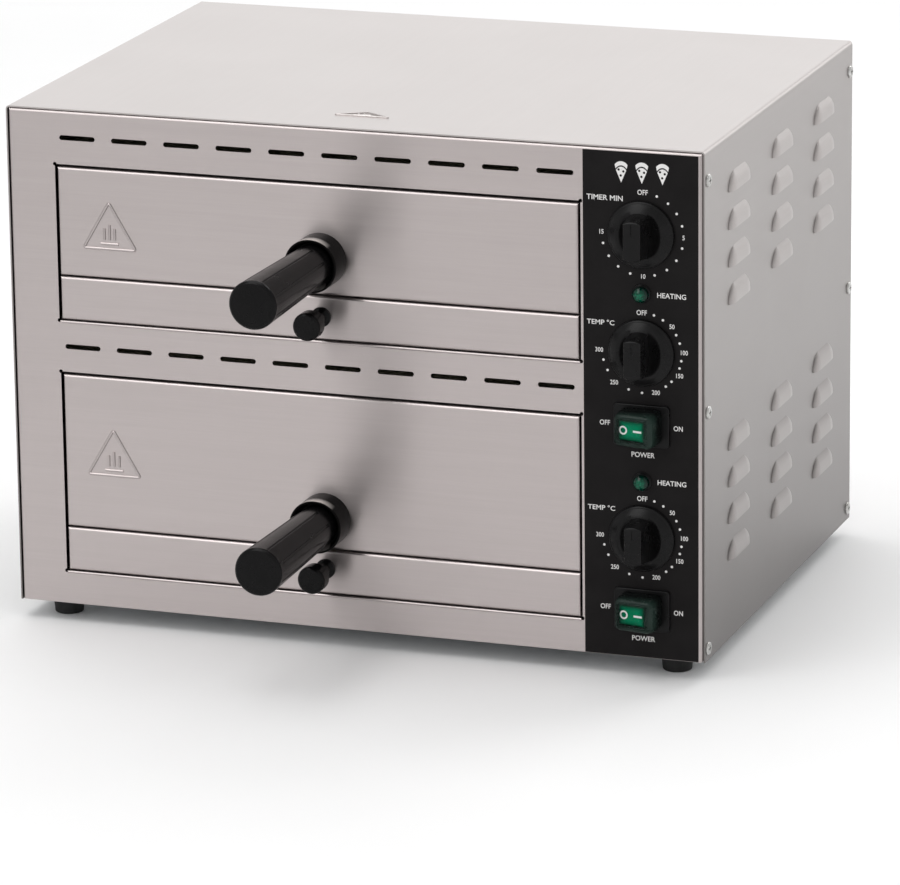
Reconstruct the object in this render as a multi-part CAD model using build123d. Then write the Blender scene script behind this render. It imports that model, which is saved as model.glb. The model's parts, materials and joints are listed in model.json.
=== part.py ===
from build123d import *
import os

# Two-deck countertop pizza oven with pull-out racks and crumb trays.
#
# The pieces are drawn in the casing's own frame, in millimetres: x from the casing's centre,
# positive to the right as seen from the front; y from the front face, positive to the rear;
# z from the underside of the casing. PLACE moves them all to the part's frame, whose origin
# is on the ground at the centre of the whole oven's footprint.

# ---------------------------------------------------------------- driving dimensions
CASE_W = 575.0          # outside width of the casing
CASE_D = 416.0          # outside depth of the casing
CASE_H = 407.0          # outside height of the casing without its feet
FOOT_H = 15.0
HANDLE_REACH = 150.0    # front face to the tip of a handle
GLAND_REACH = 22.0      # rear face to the tip of the cable gland
PLACE = Pos(0, (HANDLE_REACH - CASE_D - GLAND_REACH) / 2, FOOT_H)

COVER_T = 1.2           # outer cover sheet
PANEL_T = 1.2           # front, rear and base sheets
LINER_T = 0.8           # chamber, tray and door liner sheets
SLACK = 0.3             # between sheets that only lie next to each other
BEND = 2.5              # outside bend radius of the front panel
COVER_BEND = 3.0        # outside bend radius of the cover's two top corners
FLANGE = 12.0           # depth of the folds around each opening in the front panel
RETURN = 14.0           # depth of the front panel's and rear panel's folded edges
BASE_WALL_H = 7.0       # height of the base plate's folded edges

OPEN_X0, OPEN_X1 = -247.0, 188.0     # the two deck openings, left and right edges
OPEN_X = (OPEN_X0 + OPEN_X1) / 2
DOOR_SIDE_GAP = 1.7
DOOR_TOP_GAP = 2.4
SPLIT_GAP = 1.4         # between a door and the crumb tray front below it
DOOR_T = 13.0
DOOR_SKIN_T = 1.0
DOOR_BEND = 2.0

CHAMBER_Y0 = FLANGE + 0.2            # front edge of a baking chamber
CHAMBER_Y1 = 380.0                   # inside face of its rear wall
CHAMBER_LIP = 8.0                    # outward flange around its mouth
INSULATION_TOP = 13.0
INSULATION_LEFT = 18.0
INSULATION_RIGHT = 10.5

HANDLE_X = -25.0
COLLAR_R = 21.5
COLLAR_L = 24.0
COLLAR_RECESS = 8.0     # depth of the hollow the grip starts in
COLLAR_RIM = 1.6        # width of the ring around that hollow
GRIP_ROOT_R = 16.6
GRIP_TIP_R = 19.3
GRIP_GROOVES = 8
GROOVE_R = 1.3
HANDLE_BOLT_R = 4.0
TRAY_KNOB_REACH = 36.0
TRAY_KNOB_R = 11.3
TRAY_STEM_R = 5.5

RACK_ROD_R = 3.0
RACK_WIRE_R = 1.6
RACK_WIRES = 17
RACK_Y0, RACK_Y1 = 20.0, 352.0
RACK_SIDE_GAP = 1.8
RACK_CROSS_R = 2.0
BRACKET_T = 1.6
BRACKET_W = 24.0
BRACKET_RISE = 3.0      # bracket edges over and under the rack frame's middle
BRACKET_DROP = 9.0
RACK_SCREW_DROP = 5.8   # bracket screws under the rack frame's middle
RUNNER_W = 10.0
RUNNER_PLAY = 0.35

TRAY_WALL_H = 20.0
TRAY_Y1 = 370.0
TRAY_PLAY = 0.5         # between a crumb tray and the chamber floor it slides on
TRAY_SIDE_PLAY = 0.3
WELD_GAP = 0.02         # left between sheets that are welded to each other

ELEMENT_R = 3.75
ELEMENT_LEGS = 6
ELEMENT_PITCH = 55.0
ELEMENT_FRONT_Y = 45.0
ELEMENT_TURN_Y = 345.0
ELEMENT_END_Y = 398.0
ELEMENT_BEND_R = 25.0
BUSH_R = 7.0
SUPPORT_BAR_YS = (90.0, 290.0)

VENT_COUNT = 10
VENT_X0, VENT_PITCH = -242.5, 43.9
VENT_L, VENT_H = 30.0, 4.0
VENT_ZS = (383.8, 213.8)

CONTROL_X = 237.0
OVERLAY_X0, OVERLAY_X1 = 190.0, 282.2
OVERLAY_Z0, OVERLAY_Z1 = 0.6, 403.0
OVERLAY_T = 0.4
TIMER_Z = 339.1
THERMOSTAT_ZS = (245.8, 97.3)
LAMP_ZS = (292.4, 142.7)
SWITCH_ZS = (188.0, 39.5)
SHAFT_R = 3.0
SHAFT_BORE_R = 3.05
BUSHING_R = 4.8
KNOB_R = 26.5
KNOB_FOOT = 1.0         # height of the knob's underside over the panel
KNOB_TOP = 27.0
KNOB_BAR_W = 13.8
KNOB_BAR_ROOT = 18.6    # half length of the finger bar where it leaves the skirt, and at its top
KNOB_BAR_TIP = 15.4
KNOB_SCOOP_ACROSS = 19.2             # half axes of the hollow beside the bar
KNOB_SCOOP_ALONG = 36.4
KNOB_SCOOP_UP = 24.0
KNOB_SCOOP_FLOOR = 4.4
KNOB_SCOOP_LIP = 4.5    # radius that rounds the hollow's outer edge
KNOB_SHOULDER = (20.0, 7.0)          # (radius, height) the skirt's top curves through
KNOB_CROWN = (14.0, 8.8)             # where its middle begins, and the height it reaches on the axis
KNOB_PEAK = 9.6
KNOB_BAR_ROUND = 1.4
KNOB_CAVITY = (22.0, 1.8)            # radius and depth of the hollow underside
KNOB_HUB = (6.5, 2.0)                # radius and length of the boss around the shaft
KNOB_NOTCH = (1.2, 8.0, 1.0)         # pointer groove in the bar's top: width, length, depth twice over
KNOB_NOTCH_Y = 9.5
CONTROL_SCREW_X = 14.0

SWITCH_CUT_W, SWITCH_CUT_H = 29.4, 22.0
SWITCH_PLATE_W, SWITCH_PLATE_H = 45.0, 33.5
SWITCH_PLATE_TOP = 3.0
BOOT_W, BOOT_H = 33.0, 27.4
BOOT_CROWN_W, BOOT_CROWN_H = 32.4, 25.6
BOOT_CROWN_X = -1.6     # middle of the crown at OFF, and its height over the panel
BOOT_CROWN_OUT = 21.4
BOOT_LEAN = 9.5         # degrees the crown follows the rocker
BOOT_CORNER = 5.0
BOOT_WALL = 1.2
ROCKER_PIVOT = 1.5      # height of the rocker's pin over the panel
ROCKER_TILT = 11.5      # degrees either side of level
ROCKER_W, ROCKER_H = 22.0, 16.4
ROCKER_FACE = 18.0      # pin to the rocker's face

LAMP_R, LAMP_DEPTH = 5.0, 18.0       # pilot lamp body behind the panel
LAMP_TAB = (0.8, 4.0, 9.0)
BEZEL_R, BEZEL_TOP = 7.4, 2.4
LENS_R, LENS_SEAT = 6.0, 1.0
LENS_DOME_R, LENS_DOME_CENTRE = 7.1, 1.7
LOUVRE_L, LOUVRE_H, LOUVRE_OUT = 29.0, 15.0, 3.3
LOUVRE_END = 13.0       # length of each rounded end beyond the straight part
LOUVRE_SHEET = 0.9
LOUVRE_YS = (75.5, 195.5, 315.5)
LOUVRE_Z_TOPS = (361.0, 154.5)       # bottom edge of each group's highest row
LOUVRE_ROWS, LOUVRE_PITCH = 4, 29.8

SHIELD_X = 199.2        # sheet between the baking chambers and the controls
SHIELD_T = 1.0
PROBE_Y = 60.0
PROBE_X = 207.0
PROBE_R = 1.0
BULB_R = 3.0

FOOT_X, FOOT_INSET = 257.0, 26.5
FOOT_TOP_R, FOOT_TIP_R = 13.0, 11.5
COVER_SCREW_YS = (8.0, CASE_D - 8.0)
COVER_SCREW_ZS = (10.0, 200.0, 383.0)
GLAND_X, GLAND_Z = 237.0, 60.0
GLAND_R = 8.0
GLAND_BORE_R = 4.5

INNER_X = CASE_W / 2 - COVER_T       # inside face of the cover's sides
INNER_TOP = CASE_H - COVER_T         # underside of the cover's top
REAR_Y = CASE_D - 0.2                # outer face of the rear panel


class Deck:
    """One baking deck: an opening with a drawer door above and a crumb tray front below."""

    def __init__(self, name, floor, ceiling, split, handle_z, tray_knob_z):
        self.name = name
        self.floor = floor
        self.ceiling = ceiling
        self.split = split
        self.handle_z = handle_z
        self.tray_knob_z = tray_knob_z
        self.rack_z = split + 16.4
        self.low_element_z = self.rack_z - 16.0
        self.high_element_z = ceiling - 14.3
        self.probe_z = ceiling - 5.3


DECKS = (
    Deck("upper", 235.0, 362.3, 271.6, 300.5, 254.5),
    Deck("lower", 27.5, 193.0, 64.6, 89.5, 49.0),
)

BASE = (Align.CENTER, Align.CENTER, Align.MIN)


# ---------------------------------------------------------------- shapes used everywhere
def block(x0, x1, y0, y1, z0, z1):
    centre = Pos((x0 + x1) / 2, (y0 + y1) / 2, (z0 + z1) / 2)
    return centre * Box(x1 - x0, y1 - y0, z1 - z0)


def rod_x(x0, x1, y, z, r):
    return Pos((x0 + x1) / 2, y, z) * Rot(0, 90, 0) * Cylinder(r, x1 - x0)


def rod_y(x, y0, y1, z, r):
    return Pos(x, (y0 + y1) / 2, z) * Rot(90, 0, 0) * Cylinder(r, y1 - y0)


def rod_z(x, y, z0, z1, r):
    return Pos(x, y, (z0 + z1) / 2) * Cylinder(r, z1 - z0)


def on_front(shape, x, z):
    """Stands a shape on the front face: its own +Z points out of the oven, its +Y points up."""
    return Pos(x, 0, z) * Rot(90, 0, 0) * shape


def on_rear(shape, x, z):
    """Stands a shape on the rear face: its own +Z points out of the oven."""
    return Pos(x, REAR_Y, z) * Rot(-90, 0, 0) * shape


def pan(width, height, depth, sheet, bend):
    """A folded sheet tray: closed at z = 0, its four walls rising to z = depth."""
    outer = Box(width, height, depth, align=BASE)
    outer = fillet(outer.faces().sort_by(Axis.Z)[0].edges(), bend)
    inner = Pos(0, 0, sheet) * Box(width - 2 * sheet, height - 2 * sheet, depth, align=BASE)
    inner = fillet(inner.faces().sort_by(Axis.Z)[0].edges(), bend - sheet + 0.05)
    return outer - inner


def front_pan(x0, x1, z0, z1, y_front, depth, sheet, bend):
    """A pan whose closed face looks forward."""
    flat = pan(x1 - x0, z1 - z0, depth, sheet, bend)
    return Pos((x0 + x1) / 2, y_front, (z0 + z1) / 2) * Rot(-90, 0, 0) * flat


def rear_pan(x0, x1, z0, z1, y_rear, depth, sheet, bend):
    """A pan whose closed face looks to the rear."""
    flat = pan(x1 - x0, z1 - z0, depth, sheet, bend)
    return Pos((x0 + x1) / 2, y_rear, (z0 + z1) / 2) * Rot(90, 0, 0) * flat


def turned(points):
    """A solid turned about its own Z axis from an outline of (radius, height) points."""
    return revolve(Plane.XZ * make_face(Polyline(*points, close=True)), Axis.Z)


def rounded_prism(x0, x1, y0, y1, z0, z1, radius):
    """A block whose four edges along y are rounded."""
    outline = RectangleRounded(x1 - x0, z1 - z0, radius)
    prism = extrude(outline, y1 - y0)
    return Pos((x0 + x1) / 2, y1, (z0 + z1) / 2) * Rot(90, 0, 0) * prism


def slot_cutter(length, height, reach):
    return extrude(SlotOverall(length, height), reach, both=True)


def screw(head_r, head_h, shank_r, shank_l):
    """A domed screw with a cross recess: its head stands on z = 0, its shank goes down."""
    head = Cylinder(head_r, head_h, align=BASE)
    head = fillet(head.faces().sort_by(Axis.Z)[-1].edges(), head_h * 0.8)
    arm = Pos(0, 0, head_h) * Box(head_r, head_r * 0.22, head_h)
    recess = arm + Rot(0, 0, 90) * arm
    return head - recess + Pos(0, 0, -shank_l) * Cylinder(shank_r, shank_l + head_h / 4, align=BASE)


# ---------------------------------------------------------------- casing
def louvre_parts():
    """A louvre pressed out of a wall at x = 0, open downwards: (sheet hood, hollow behind it)."""

    def hood(out, height, sill, end_length):
        crest = Spline((out, sill), (0, height), tangents=[(0, 1), (-0.6, 1)])
        section = make_face(Polyline((0, height), (0, 0), (out, 0), (out, sill)) + crest)
        straight = extrude(Plane.XZ * section, LOUVRE_L)
        end = scale(revolve(Plane.XZ * section, Axis.Z), by=(1, end_length / out, 1))
        body = Pos(0, LOUVRE_L, 0) * straight + end + Pos(0, LOUVRE_L, 0) * end
        return body & block(0, out + 1, -2 * end_length, LOUVRE_L + 2 * end_length, -1, height + 1)

    skin = hood(LOUVRE_OUT, LOUVRE_H, 1.5, LOUVRE_END)
    hollow = hood(LOUVRE_OUT - LOUVRE_SHEET, LOUVRE_H - 2.6, 1.2, LOUVRE_END - LOUVRE_SHEET)
    return skin - hollow, hollow + Pos(-COVER_T, 0, 0) * block(0, COVER_T, -3, LOUVRE_L + 3, 0, 6)


def outer_cover():
    section = Box(CASE_W, CASE_D, CASE_H, align=BASE)
    corners = section.edges().filter_by(Axis.Y).sort_by(Axis.Z)[-2:]
    section = Pos(0, CASE_D / 2, 0) * fillet(corners, COVER_BEND)
    inside = Box(2 * INNER_X, CASE_D + 2, INNER_TOP + 1, align=BASE)
    corners = inside.edges().filter_by(Axis.Y).sort_by(Axis.Z)[-2:]
    inside = Pos(0, CASE_D / 2, -1) * fillet(corners, COVER_BEND - COVER_T)
    cover = section - inside
    hood, hollow = louvre_parts()
    hoods, hollows = [], []
    for z_top in LOUVRE_Z_TOPS:
        for row in range(LOUVRE_ROWS):
            for y in LOUVRE_YS:
                place = Pos(CASE_W / 2, y, z_top - row * LOUVRE_PITCH)
                hoods.append(place * hood)
                hollows.append(place * hollow)
    holes = [rod_x(-CASE_W, CASE_W, y, z, 2.3) for y in COVER_SCREW_YS for z in COVER_SCREW_ZS]
    return (cover - hollows - holes) + hoods


def end_panel_blank(pan_maker, y):
    """The front or rear sheet before its holes: folded at the top and sides, plain below."""
    edge, top = INNER_X - SLACK, INNER_TOP - SLACK
    blank = pan_maker(-edge, edge, -10, top, y, RETURN, PANEL_T, BEND)
    return blank & rounded_prism(-edge, edge, y - 20, y + 20, SLACK, top, 2.0)


def front_panel():
    panel = end_panel_blank(front_pan, 0)
    for deck in DECKS:
        frame = block(OPEN_X0 - PANEL_T, OPEN_X1 + PANEL_T, PANEL_T, FLANGE,
                      deck.floor - PANEL_T, deck.ceiling + PANEL_T)
        opening = block(OPEN_X0, OPEN_X1, -1, FLANGE + 1, deck.floor, deck.ceiling)
        panel = panel + frame - opening
        for x in (OPEN_X0, OPEN_X1):
            for z in (deck.floor, deck.ceiling):
                panel -= rod_y(x, -1, FLANGE + 1, z, 1.5)
    cutters = []
    for z in VENT_ZS:
        for i in range(VENT_COUNT):
            x = VENT_X0 + i * VENT_PITCH + VENT_L / 2
            cutters.append(on_front(slot_cutter(VENT_L, VENT_H, 5), x, z))
    cutters += control_holes(BUSHING_R + 0.3, 2.1)
    edge_holes = [rod_x(-CASE_W, CASE_W, COVER_SCREW_YS[0], z, 2.3) for z in COVER_SCREW_ZS]
    return panel - cutters - edge_holes


def control_holes(shaft_hole_r, screw_hole_r):
    """Cutters for everything that passes through the control side of the front."""
    cutters = []
    for z in (TIMER_Z,) + THERMOSTAT_ZS:
        cutters.append(rod_y(CONTROL_X, -3, 3, z, shaft_hole_r))
        for side in (-1, 1):
            cutters.append(rod_y(CONTROL_X + side * CONTROL_SCREW_X, -3, 3, z, screw_hole_r))
    for z in LAMP_ZS:
        cutters.append(rod_y(CONTROL_X, -3, 3, z, 5.3))
    for z in SWITCH_ZS:
        cutters.append(on_front(Box(SWITCH_CUT_W, SWITCH_CUT_H, 6), CONTROL_X, z))
    return cutters


def control_overlay():
    film = block(OVERLAY_X0, OVERLAY_X1, -OVERLAY_T, 0, OVERLAY_Z0, OVERLAY_Z1)
    return film - control_holes(BUSHING_R + 0.7, 2.1)


def base_plate():
    plate = pan(2 * (INNER_X - 1.6), CASE_D - 5, BASE_WALL_H, PANEL_T, 2.0)
    plate = Pos(0, CASE_D / 2, 0) * plate
    cutters = []
    for x in (-FOOT_X, FOOT_X):
        for y in (FOOT_INSET, CASE_D - FOOT_INSET):
            cutters.append(rod_z(x, y, -2, 4, 2.8))
    for row in range(5):
        for x in (-180, -60, 60, 180):
            slot = Pos(x, 110 + row * 50, 0) * slot_cutter(70, 5, 5)
            cutters.append(slot)
    return plate - cutters


def rear_panel():
    panel = end_panel_blank(rear_pan, REAR_Y)
    cutters = [rod_y(GLAND_X, REAR_Y - 5, REAR_Y + 5, GLAND_Z, GLAND_R + 0.2)]
    for z_top in (372.0, 215.0):
        for row in range(4):
            for i in range(6):
                slot = slot_cutter(46, 5, 5)
                cutters.append(on_rear(slot, -205 + i * 62, z_top - row * 11))
    edge_holes = [rod_x(-CASE_W, CASE_W, COVER_SCREW_YS[1], z, 2.3) for z in COVER_SCREW_ZS]
    return panel - cutters - edge_holes


def heat_shield():
    wall = block(SHIELD_X, SHIELD_X + SHIELD_T, 20, 400, 1.3, 398)
    foot = block(SHIELD_X, SHIELD_X + 14, 20, 400, 1.3, 2.3)
    shield = wall + foot
    holes = [rod_x(190, 210, PROBE_Y, deck.probe_z, 3.4) for deck in DECKS]
    return shield - holes


def rubber_feet():
    feet = []
    for x in (-FOOT_X, FOOT_X):
        for y in (FOOT_INSET, CASE_D - FOOT_INSET):
            foot = Cone(FOOT_TIP_R, FOOT_TOP_R, FOOT_H, align=BASE)
            foot = fillet(foot.faces().sort_by(Axis.Z)[0].edges(), 1.2)
            foot -= Cylinder(6.5, 9, align=BASE)
            foot -= Cylinder(2.7, FOOT_H, align=BASE)
            feet.append(Pos(x, y, -FOOT_H) * foot)
    return Compound(feet)


def foot_screws():
    upside_down = Rot(180, 0, 0) * screw(5.0, 2.6, 2.5, 14.0)
    return Compound([Pos(x, y, -6) * upside_down
                     for x in (-FOOT_X, FOOT_X) for y in (FOOT_INSET, CASE_D - FOOT_INSET)])


def cover_screws():
    right = Rot(0, 90, 0) * screw(5.2, 1.8, 2.1, 6.0)
    left = Rot(0, -90, 0) * screw(5.2, 1.8, 2.1, 6.0)
    screws = []
    for y in COVER_SCREW_YS:
        for z in COVER_SCREW_ZS:
            screws.append(Pos(CASE_W / 2, y, z) * right)
            screws.append(Pos(-CASE_W / 2, y, z) * left)
    return Compound(screws)


# ---------------------------------------------------------------- baking chambers
def chamber(deck):
    x0, x1 = OPEN_X0 - LINER_T, OPEN_X1 + LINER_T
    z0, z1 = deck.floor - LINER_T, deck.ceiling + LINER_T
    shell = block(x0, x1, CHAMBER_Y0, CHAMBER_Y1 + LINER_T, z0, z1)
    shell += block(x0 - CHAMBER_LIP, x1 + CHAMBER_LIP, CHAMBER_Y0, CHAMBER_Y0 + LINER_T,
                   z0 - CHAMBER_LIP, z1 + CHAMBER_LIP)
    shell -= block(OPEN_X0, OPEN_X1, 0, CHAMBER_Y1, deck.floor, deck.ceiling)
    holes = [rod_x(x1 - 3, x1 + 3, PROBE_Y, deck.probe_z, 3.4)]
    for z in (deck.low_element_z, deck.high_element_z):
        for x in element_end_xs():
            holes.append(rod_y(x, CHAMBER_Y1 - 3, CHAMBER_Y1 + 3, z, BUSH_R + 0.1))
    return shell - holes


def chamber_insulation():
    blankets = []
    for deck in DECKS:
        around = block(OPEN_X0 - INSULATION_LEFT, OPEN_X1 + INSULATION_RIGHT, 16, CHAMBER_Y1,
                       deck.floor, deck.ceiling + INSULATION_TOP)
        around -= block(OPEN_X0 - 1, OPEN_X1 + 1, 15, CHAMBER_Y1 + 1,
                        deck.floor - 1, deck.ceiling + 1)
        around -= rod_x(OPEN_X1, OPEN_X1 + 20, PROBE_Y, deck.probe_z, 3.4)
        blankets.append(around)
    return Compound(blankets)


def element_end_xs():
    half = ELEMENT_PITCH * (ELEMENT_LEGS - 1) / 2
    return OPEN_X - half, OPEN_X + half


def heating_element(z):
    """A sheathed rod bent to and fro across the chamber, with ceramic bushes and end pins."""
    x, _ = element_end_xs()
    points = [(x, ELEMENT_END_Y)]
    for leg in range(ELEMENT_LEGS - 1):
        turn = ELEMENT_TURN_Y if leg % 2 else ELEMENT_FRONT_Y
        points += [(x, turn), (x + ELEMENT_PITCH, turn)]
        x += ELEMENT_PITCH
    points.append((x, ELEMENT_END_Y))
    path = FilletPolyline(*[(px, py, z) for px, py in points], radius=ELEMENT_BEND_R)
    start = Plane(origin=path @ 0, z_dir=path % 0)
    pieces = [sweep(start * Circle(ELEMENT_R), path=path)]
    for end_x in element_end_xs():
        bush = rod_y(end_x, CHAMBER_Y1 - 2, CHAMBER_Y1 + 9, z, BUSH_R)
        pieces.append(bush - rod_y(end_x, CHAMBER_Y1 - 3, CHAMBER_Y1 + 10, z, ELEMENT_R + 0.02))
        pieces.append(rod_y(end_x, ELEMENT_END_Y, ELEMENT_END_Y + 7, z, 1.6))
    return Compound([solid for piece in pieces for solid in piece.solids()])


def element_supports():
    bars = []
    for deck in DECKS:
        for z in (deck.low_element_z, deck.high_element_z):
            under = z - ELEMENT_R - 0.1
            for y in SUPPORT_BAR_YS:
                bars.append(block(OPEN_X0 + 0.1, OPEN_X1 - 0.1, y, y + 12, under - 1.2, under))
    return Compound(bars)


def rack_runners():
    """Channels on the chamber walls that the racks slide in."""
    half = RACK_ROD_R + RUNNER_PLAY
    channels = []
    for deck in DECKS:
        low, high = deck.rack_z - half, deck.rack_z + half
        for x0, x1, web in ((OPEN_X0, OPEN_X0 + RUNNER_W, 1), (OPEN_X1 - RUNNER_W, OPEN_X1, -1)):
            channel = block(x0, x1, 16, 366, low - 1, high + 1)
            channels.append(channel - Pos(web * 0.8, 0, 0) * block(x0, x1, 10, 370, low, high))
    return Compound(channels)


# ---------------------------------------------------------------- drawers
def door_extent(deck):
    x0, x1 = OPEN_X0 + DOOR_SIDE_GAP, OPEN_X1 - DOOR_SIDE_GAP
    return x0, x1, deck.split + SPLIT_GAP / 2, deck.ceiling - DOOR_TOP_GAP


def door_skin(deck):
    x0, x1, z0, z1 = door_extent(deck)
    skin = front_pan(x0, x1, z0, z1, 0, DOOR_T - 1, DOOR_SKIN_T, DOOR_BEND)
    return skin - rod_y(HANDLE_X, -5, 5, deck.handle_z, HANDLE_BOLT_R + 0.2)


def door_liner(deck):
    x0, x1, z0, z1 = door_extent(deck)
    inset = DOOR_SKIN_T + 0.1
    liner = rear_pan(x0 + inset, x1 - inset, z0 + inset, z1 - inset, DOOR_T, 9, LINER_T, 1.6)
    return liner - rack_screw_holes(deck)


def handle_collar(deck):
    outline = [
        (4.3, 0), (COLLAR_R, 0), (COLLAR_R, COLLAR_L), (COLLAR_R - COLLAR_RIM, COLLAR_L),
        (GRIP_ROOT_R + 0.6, COLLAR_L - COLLAR_RECESS), (4.3, COLLAR_L - COLLAR_RECESS),
    ]
    collar = turned(outline)
    rim = [e for e in collar.edges().filter_by(GeomType.CIRCLE) if abs(e.radius - COLLAR_R) < 0.01]
    collar = fillet([e for e in rim if e.center().Z > 1], COLLAR_RIM / 2)
    return on_front(collar, HANDLE_X, deck.handle_z)


def handle_grip(deck):
    """A tapered hand grip with lengthwise grooves and a crowned end."""
    root = COLLAR_L - COLLAR_RECESS
    edge = 3.5
    outline = [(4.1, root), (GRIP_ROOT_R, root), (GRIP_TIP_R, HANDLE_REACH - edge)]
    crown = [(GRIP_TIP_R, HANDLE_REACH - edge), (GRIP_TIP_R - edge, HANDLE_REACH - 0.6), (0, HANDLE_REACH)]
    profile = Polyline(*outline) + ThreePointArc(
        crown[0], (GRIP_TIP_R - 0.9, HANDLE_REACH - 1.4), crown[1])
    profile += Spline(crown[1], crown[2], tangents=[(-1, 0.14), (-1, 0)])
    profile += Polyline(crown[2], (0, HANDLE_REACH - 20), (4.1, HANDLE_REACH - 20), outline[0])
    grip = revolve(Plane.XZ * make_face(profile), Axis.Z)
    run = HANDLE_REACH - 2 * root - 6
    lean = (GRIP_TIP_R - GRIP_ROOT_R) / (HANDLE_REACH - edge - root)
    grooves = []
    for i in range(GRIP_GROOVES):
        start = GRIP_ROOT_R + lean * root + 0.55
        groove = Pos(start, 0, 2 * root) * Rot(0, Vector(1, 0, lean).get_angle(Vector(1, 0, 0)), 0)
        cutter = Cylinder(GROOVE_R, run, align=BASE)
        cutter = fillet(cutter.edges(), GROOVE_R * 0.9)
        grooves.append(Rot(0, 0, (i + 0.5) * 360 / GRIP_GROOVES) * groove * cutter)
    return on_front(grip - grooves, HANDLE_X, deck.handle_z)


def handle_bolt(deck):
    """A stud through the door, the collar and the grip, with a nut inside the door."""
    stud = rod_y(HANDLE_X, -(HANDLE_REACH - 24), 8, deck.handle_z, HANDLE_BOLT_R)
    nut = extrude(RegularPolygon(7.5, 6), 5)
    nut -= Cylinder(HANDLE_BOLT_R + 0.01, 20)
    nut = Pos(HANDLE_X, DOOR_SKIN_T, deck.handle_z) * Rot(-90, 0, 0) * nut
    return Compound(stud.solids() + nut.solids())


def rack_bracket_xs():
    return OPEN_X - 140, OPEN_X + 140


def rack_screw_holes(deck):
    return [rod_y(x, 0, DOOR_T + 5, deck.rack_z - RACK_SCREW_DROP, 1.8) for x in rack_bracket_xs()]


def rack_screws(deck):
    fixing = Rot(-90, 0, 0) * screw(2.6, 1.4, 1.7, 5.0)
    y = DOOR_T + BRACKET_T + 0.05
    return Compound([Pos(x, y, deck.rack_z - RACK_SCREW_DROP) * fixing for x in rack_bracket_xs()])


def wire_rack(deck):
    """A rod frame with wires welded on top and two brackets screwed to the door."""
    x0 = OPEN_X0 + RACK_SIDE_GAP + RACK_ROD_R
    x1 = OPEN_X1 - RACK_SIDE_GAP - RACK_ROD_R
    z = deck.rack_z
    half_w, half_d = (x1 - x0) / 2, (RACK_Y1 - RACK_Y0) / 2 - RACK_ROD_R
    centre_y = (RACK_Y0 + RACK_Y1) / 2
    path = fillet(Rectangle(2 * half_w, 2 * half_d).vertices(), 14.0).wire()
    start = Plane(origin=path @ 0, z_dir=path % 0)
    rack = Pos(OPEN_X, centre_y, z) * sweep(start * Circle(RACK_ROD_R), path=path)
    wire_z = z + RACK_ROD_R + RACK_WIRE_R - 0.8
    step = (2 * half_w - 2 * RUNNER_W) / (RACK_WIRES - 1)
    y0, y1 = RACK_Y0 + RACK_ROD_R, RACK_Y1 - RACK_ROD_R
    wires = [rod_y(x0 + RUNNER_W + i * step, y0, y1, wire_z, RACK_WIRE_R) for i in range(RACK_WIRES)]
    cross = [rod_x(x0, x1, y, z, RACK_CROSS_R) for y in (centre_y - 60, centre_y + 60)]
    brackets = []
    back = DOOR_T + 0.05
    for x in rack_bracket_xs():
        side0, side1 = x - BRACKET_W / 2, x + BRACKET_W / 2
        brackets.append(block(side0, side1, back, RACK_Y0 + 4, z - 1, z + 1))
        brackets.append(block(side0, side1, back, back + BRACKET_T, z - BRACKET_DROP, z + BRACKET_RISE))
    return rack + wires + cross + brackets - rack_screw_holes(deck)


# ---------------------------------------------------------------- crumb trays
def tray_front(deck):
    x0, x1, z0, _ = door_extent(deck)
    z1 = z0 - SPLIT_GAP
    front = front_pan(x0, x1, deck.floor + 1.0, z1, 0, DOOR_T - 1, DOOR_SKIN_T, DOOR_BEND)
    return front - rod_y(HANDLE_X, -5, 5, deck.tray_knob_z, 2.2)


def crumb_tray(deck):
    """A sheet floor with four wall strips spot-welded around its edge."""
    x0, x1, _, _ = door_extent(deck)
    x0, x1 = x0 + TRAY_SIDE_PLAY, x1 - TRAY_SIDE_PLAY
    y0, y1 = DOOR_T - 0.9, TRAY_Y1
    low = deck.floor + TRAY_PLAY
    foot, top = low + LINER_T + WELD_GAP, low + TRAY_WALL_H
    inset = LINER_T + WELD_GAP
    sheets = [
        block(x0, x1, y0, y1, low, low + LINER_T),
        block(x0, x0 + LINER_T, y0, y1, foot, top),
        block(x1 - LINER_T, x1, y0, y1, foot, top),
        block(x0 + inset, x1 - inset, y0, y0 + LINER_T, foot, top),
        block(x0 + inset, x1 - inset, y1 - LINER_T, y1, foot, top),
    ]
    return Compound([solid for sheet in sheets for solid in sheet.solids()])


def tray_knob(deck):
    """A turned knob on a slimmer stem."""
    profile = Polyline((2.05, 0), (8, 0), (8, 2), (TRAY_STEM_R, 5), (TRAY_STEM_R, 15))
    profile += Spline((TRAY_STEM_R, 15), (TRAY_KNOB_R, 23.5), tangents=[(0, 1), (0.5, 1)])
    profile += Polyline((TRAY_KNOB_R, 23.5), (TRAY_KNOB_R, TRAY_KNOB_REACH - 3))
    profile += ThreePointArc((TRAY_KNOB_R, TRAY_KNOB_REACH - 3), (TRAY_KNOB_R - 0.8, TRAY_KNOB_REACH - 1.2),
                             (TRAY_KNOB_R - 3, TRAY_KNOB_REACH - 0.4))
    profile += Polyline((TRAY_KNOB_R - 3, TRAY_KNOB_REACH - 0.4), (0, TRAY_KNOB_REACH),
                        (0, 18), (2.05, 18), (2.05, 0))
    knob = revolve(Plane.XZ * make_face(profile), Axis.Z)
    return on_front(knob, HANDLE_X, deck.tray_knob_z)


def tray_knob_screw(deck):
    """Passes from inside the folded tray front into the knob."""
    fixing = Rot(-90, 0, 0) * screw(4.0, 2.2, 2.0, 16.0)
    return Pos(HANDLE_X, DOOR_SKIN_T, deck.tray_knob_z) * fixing


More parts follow.
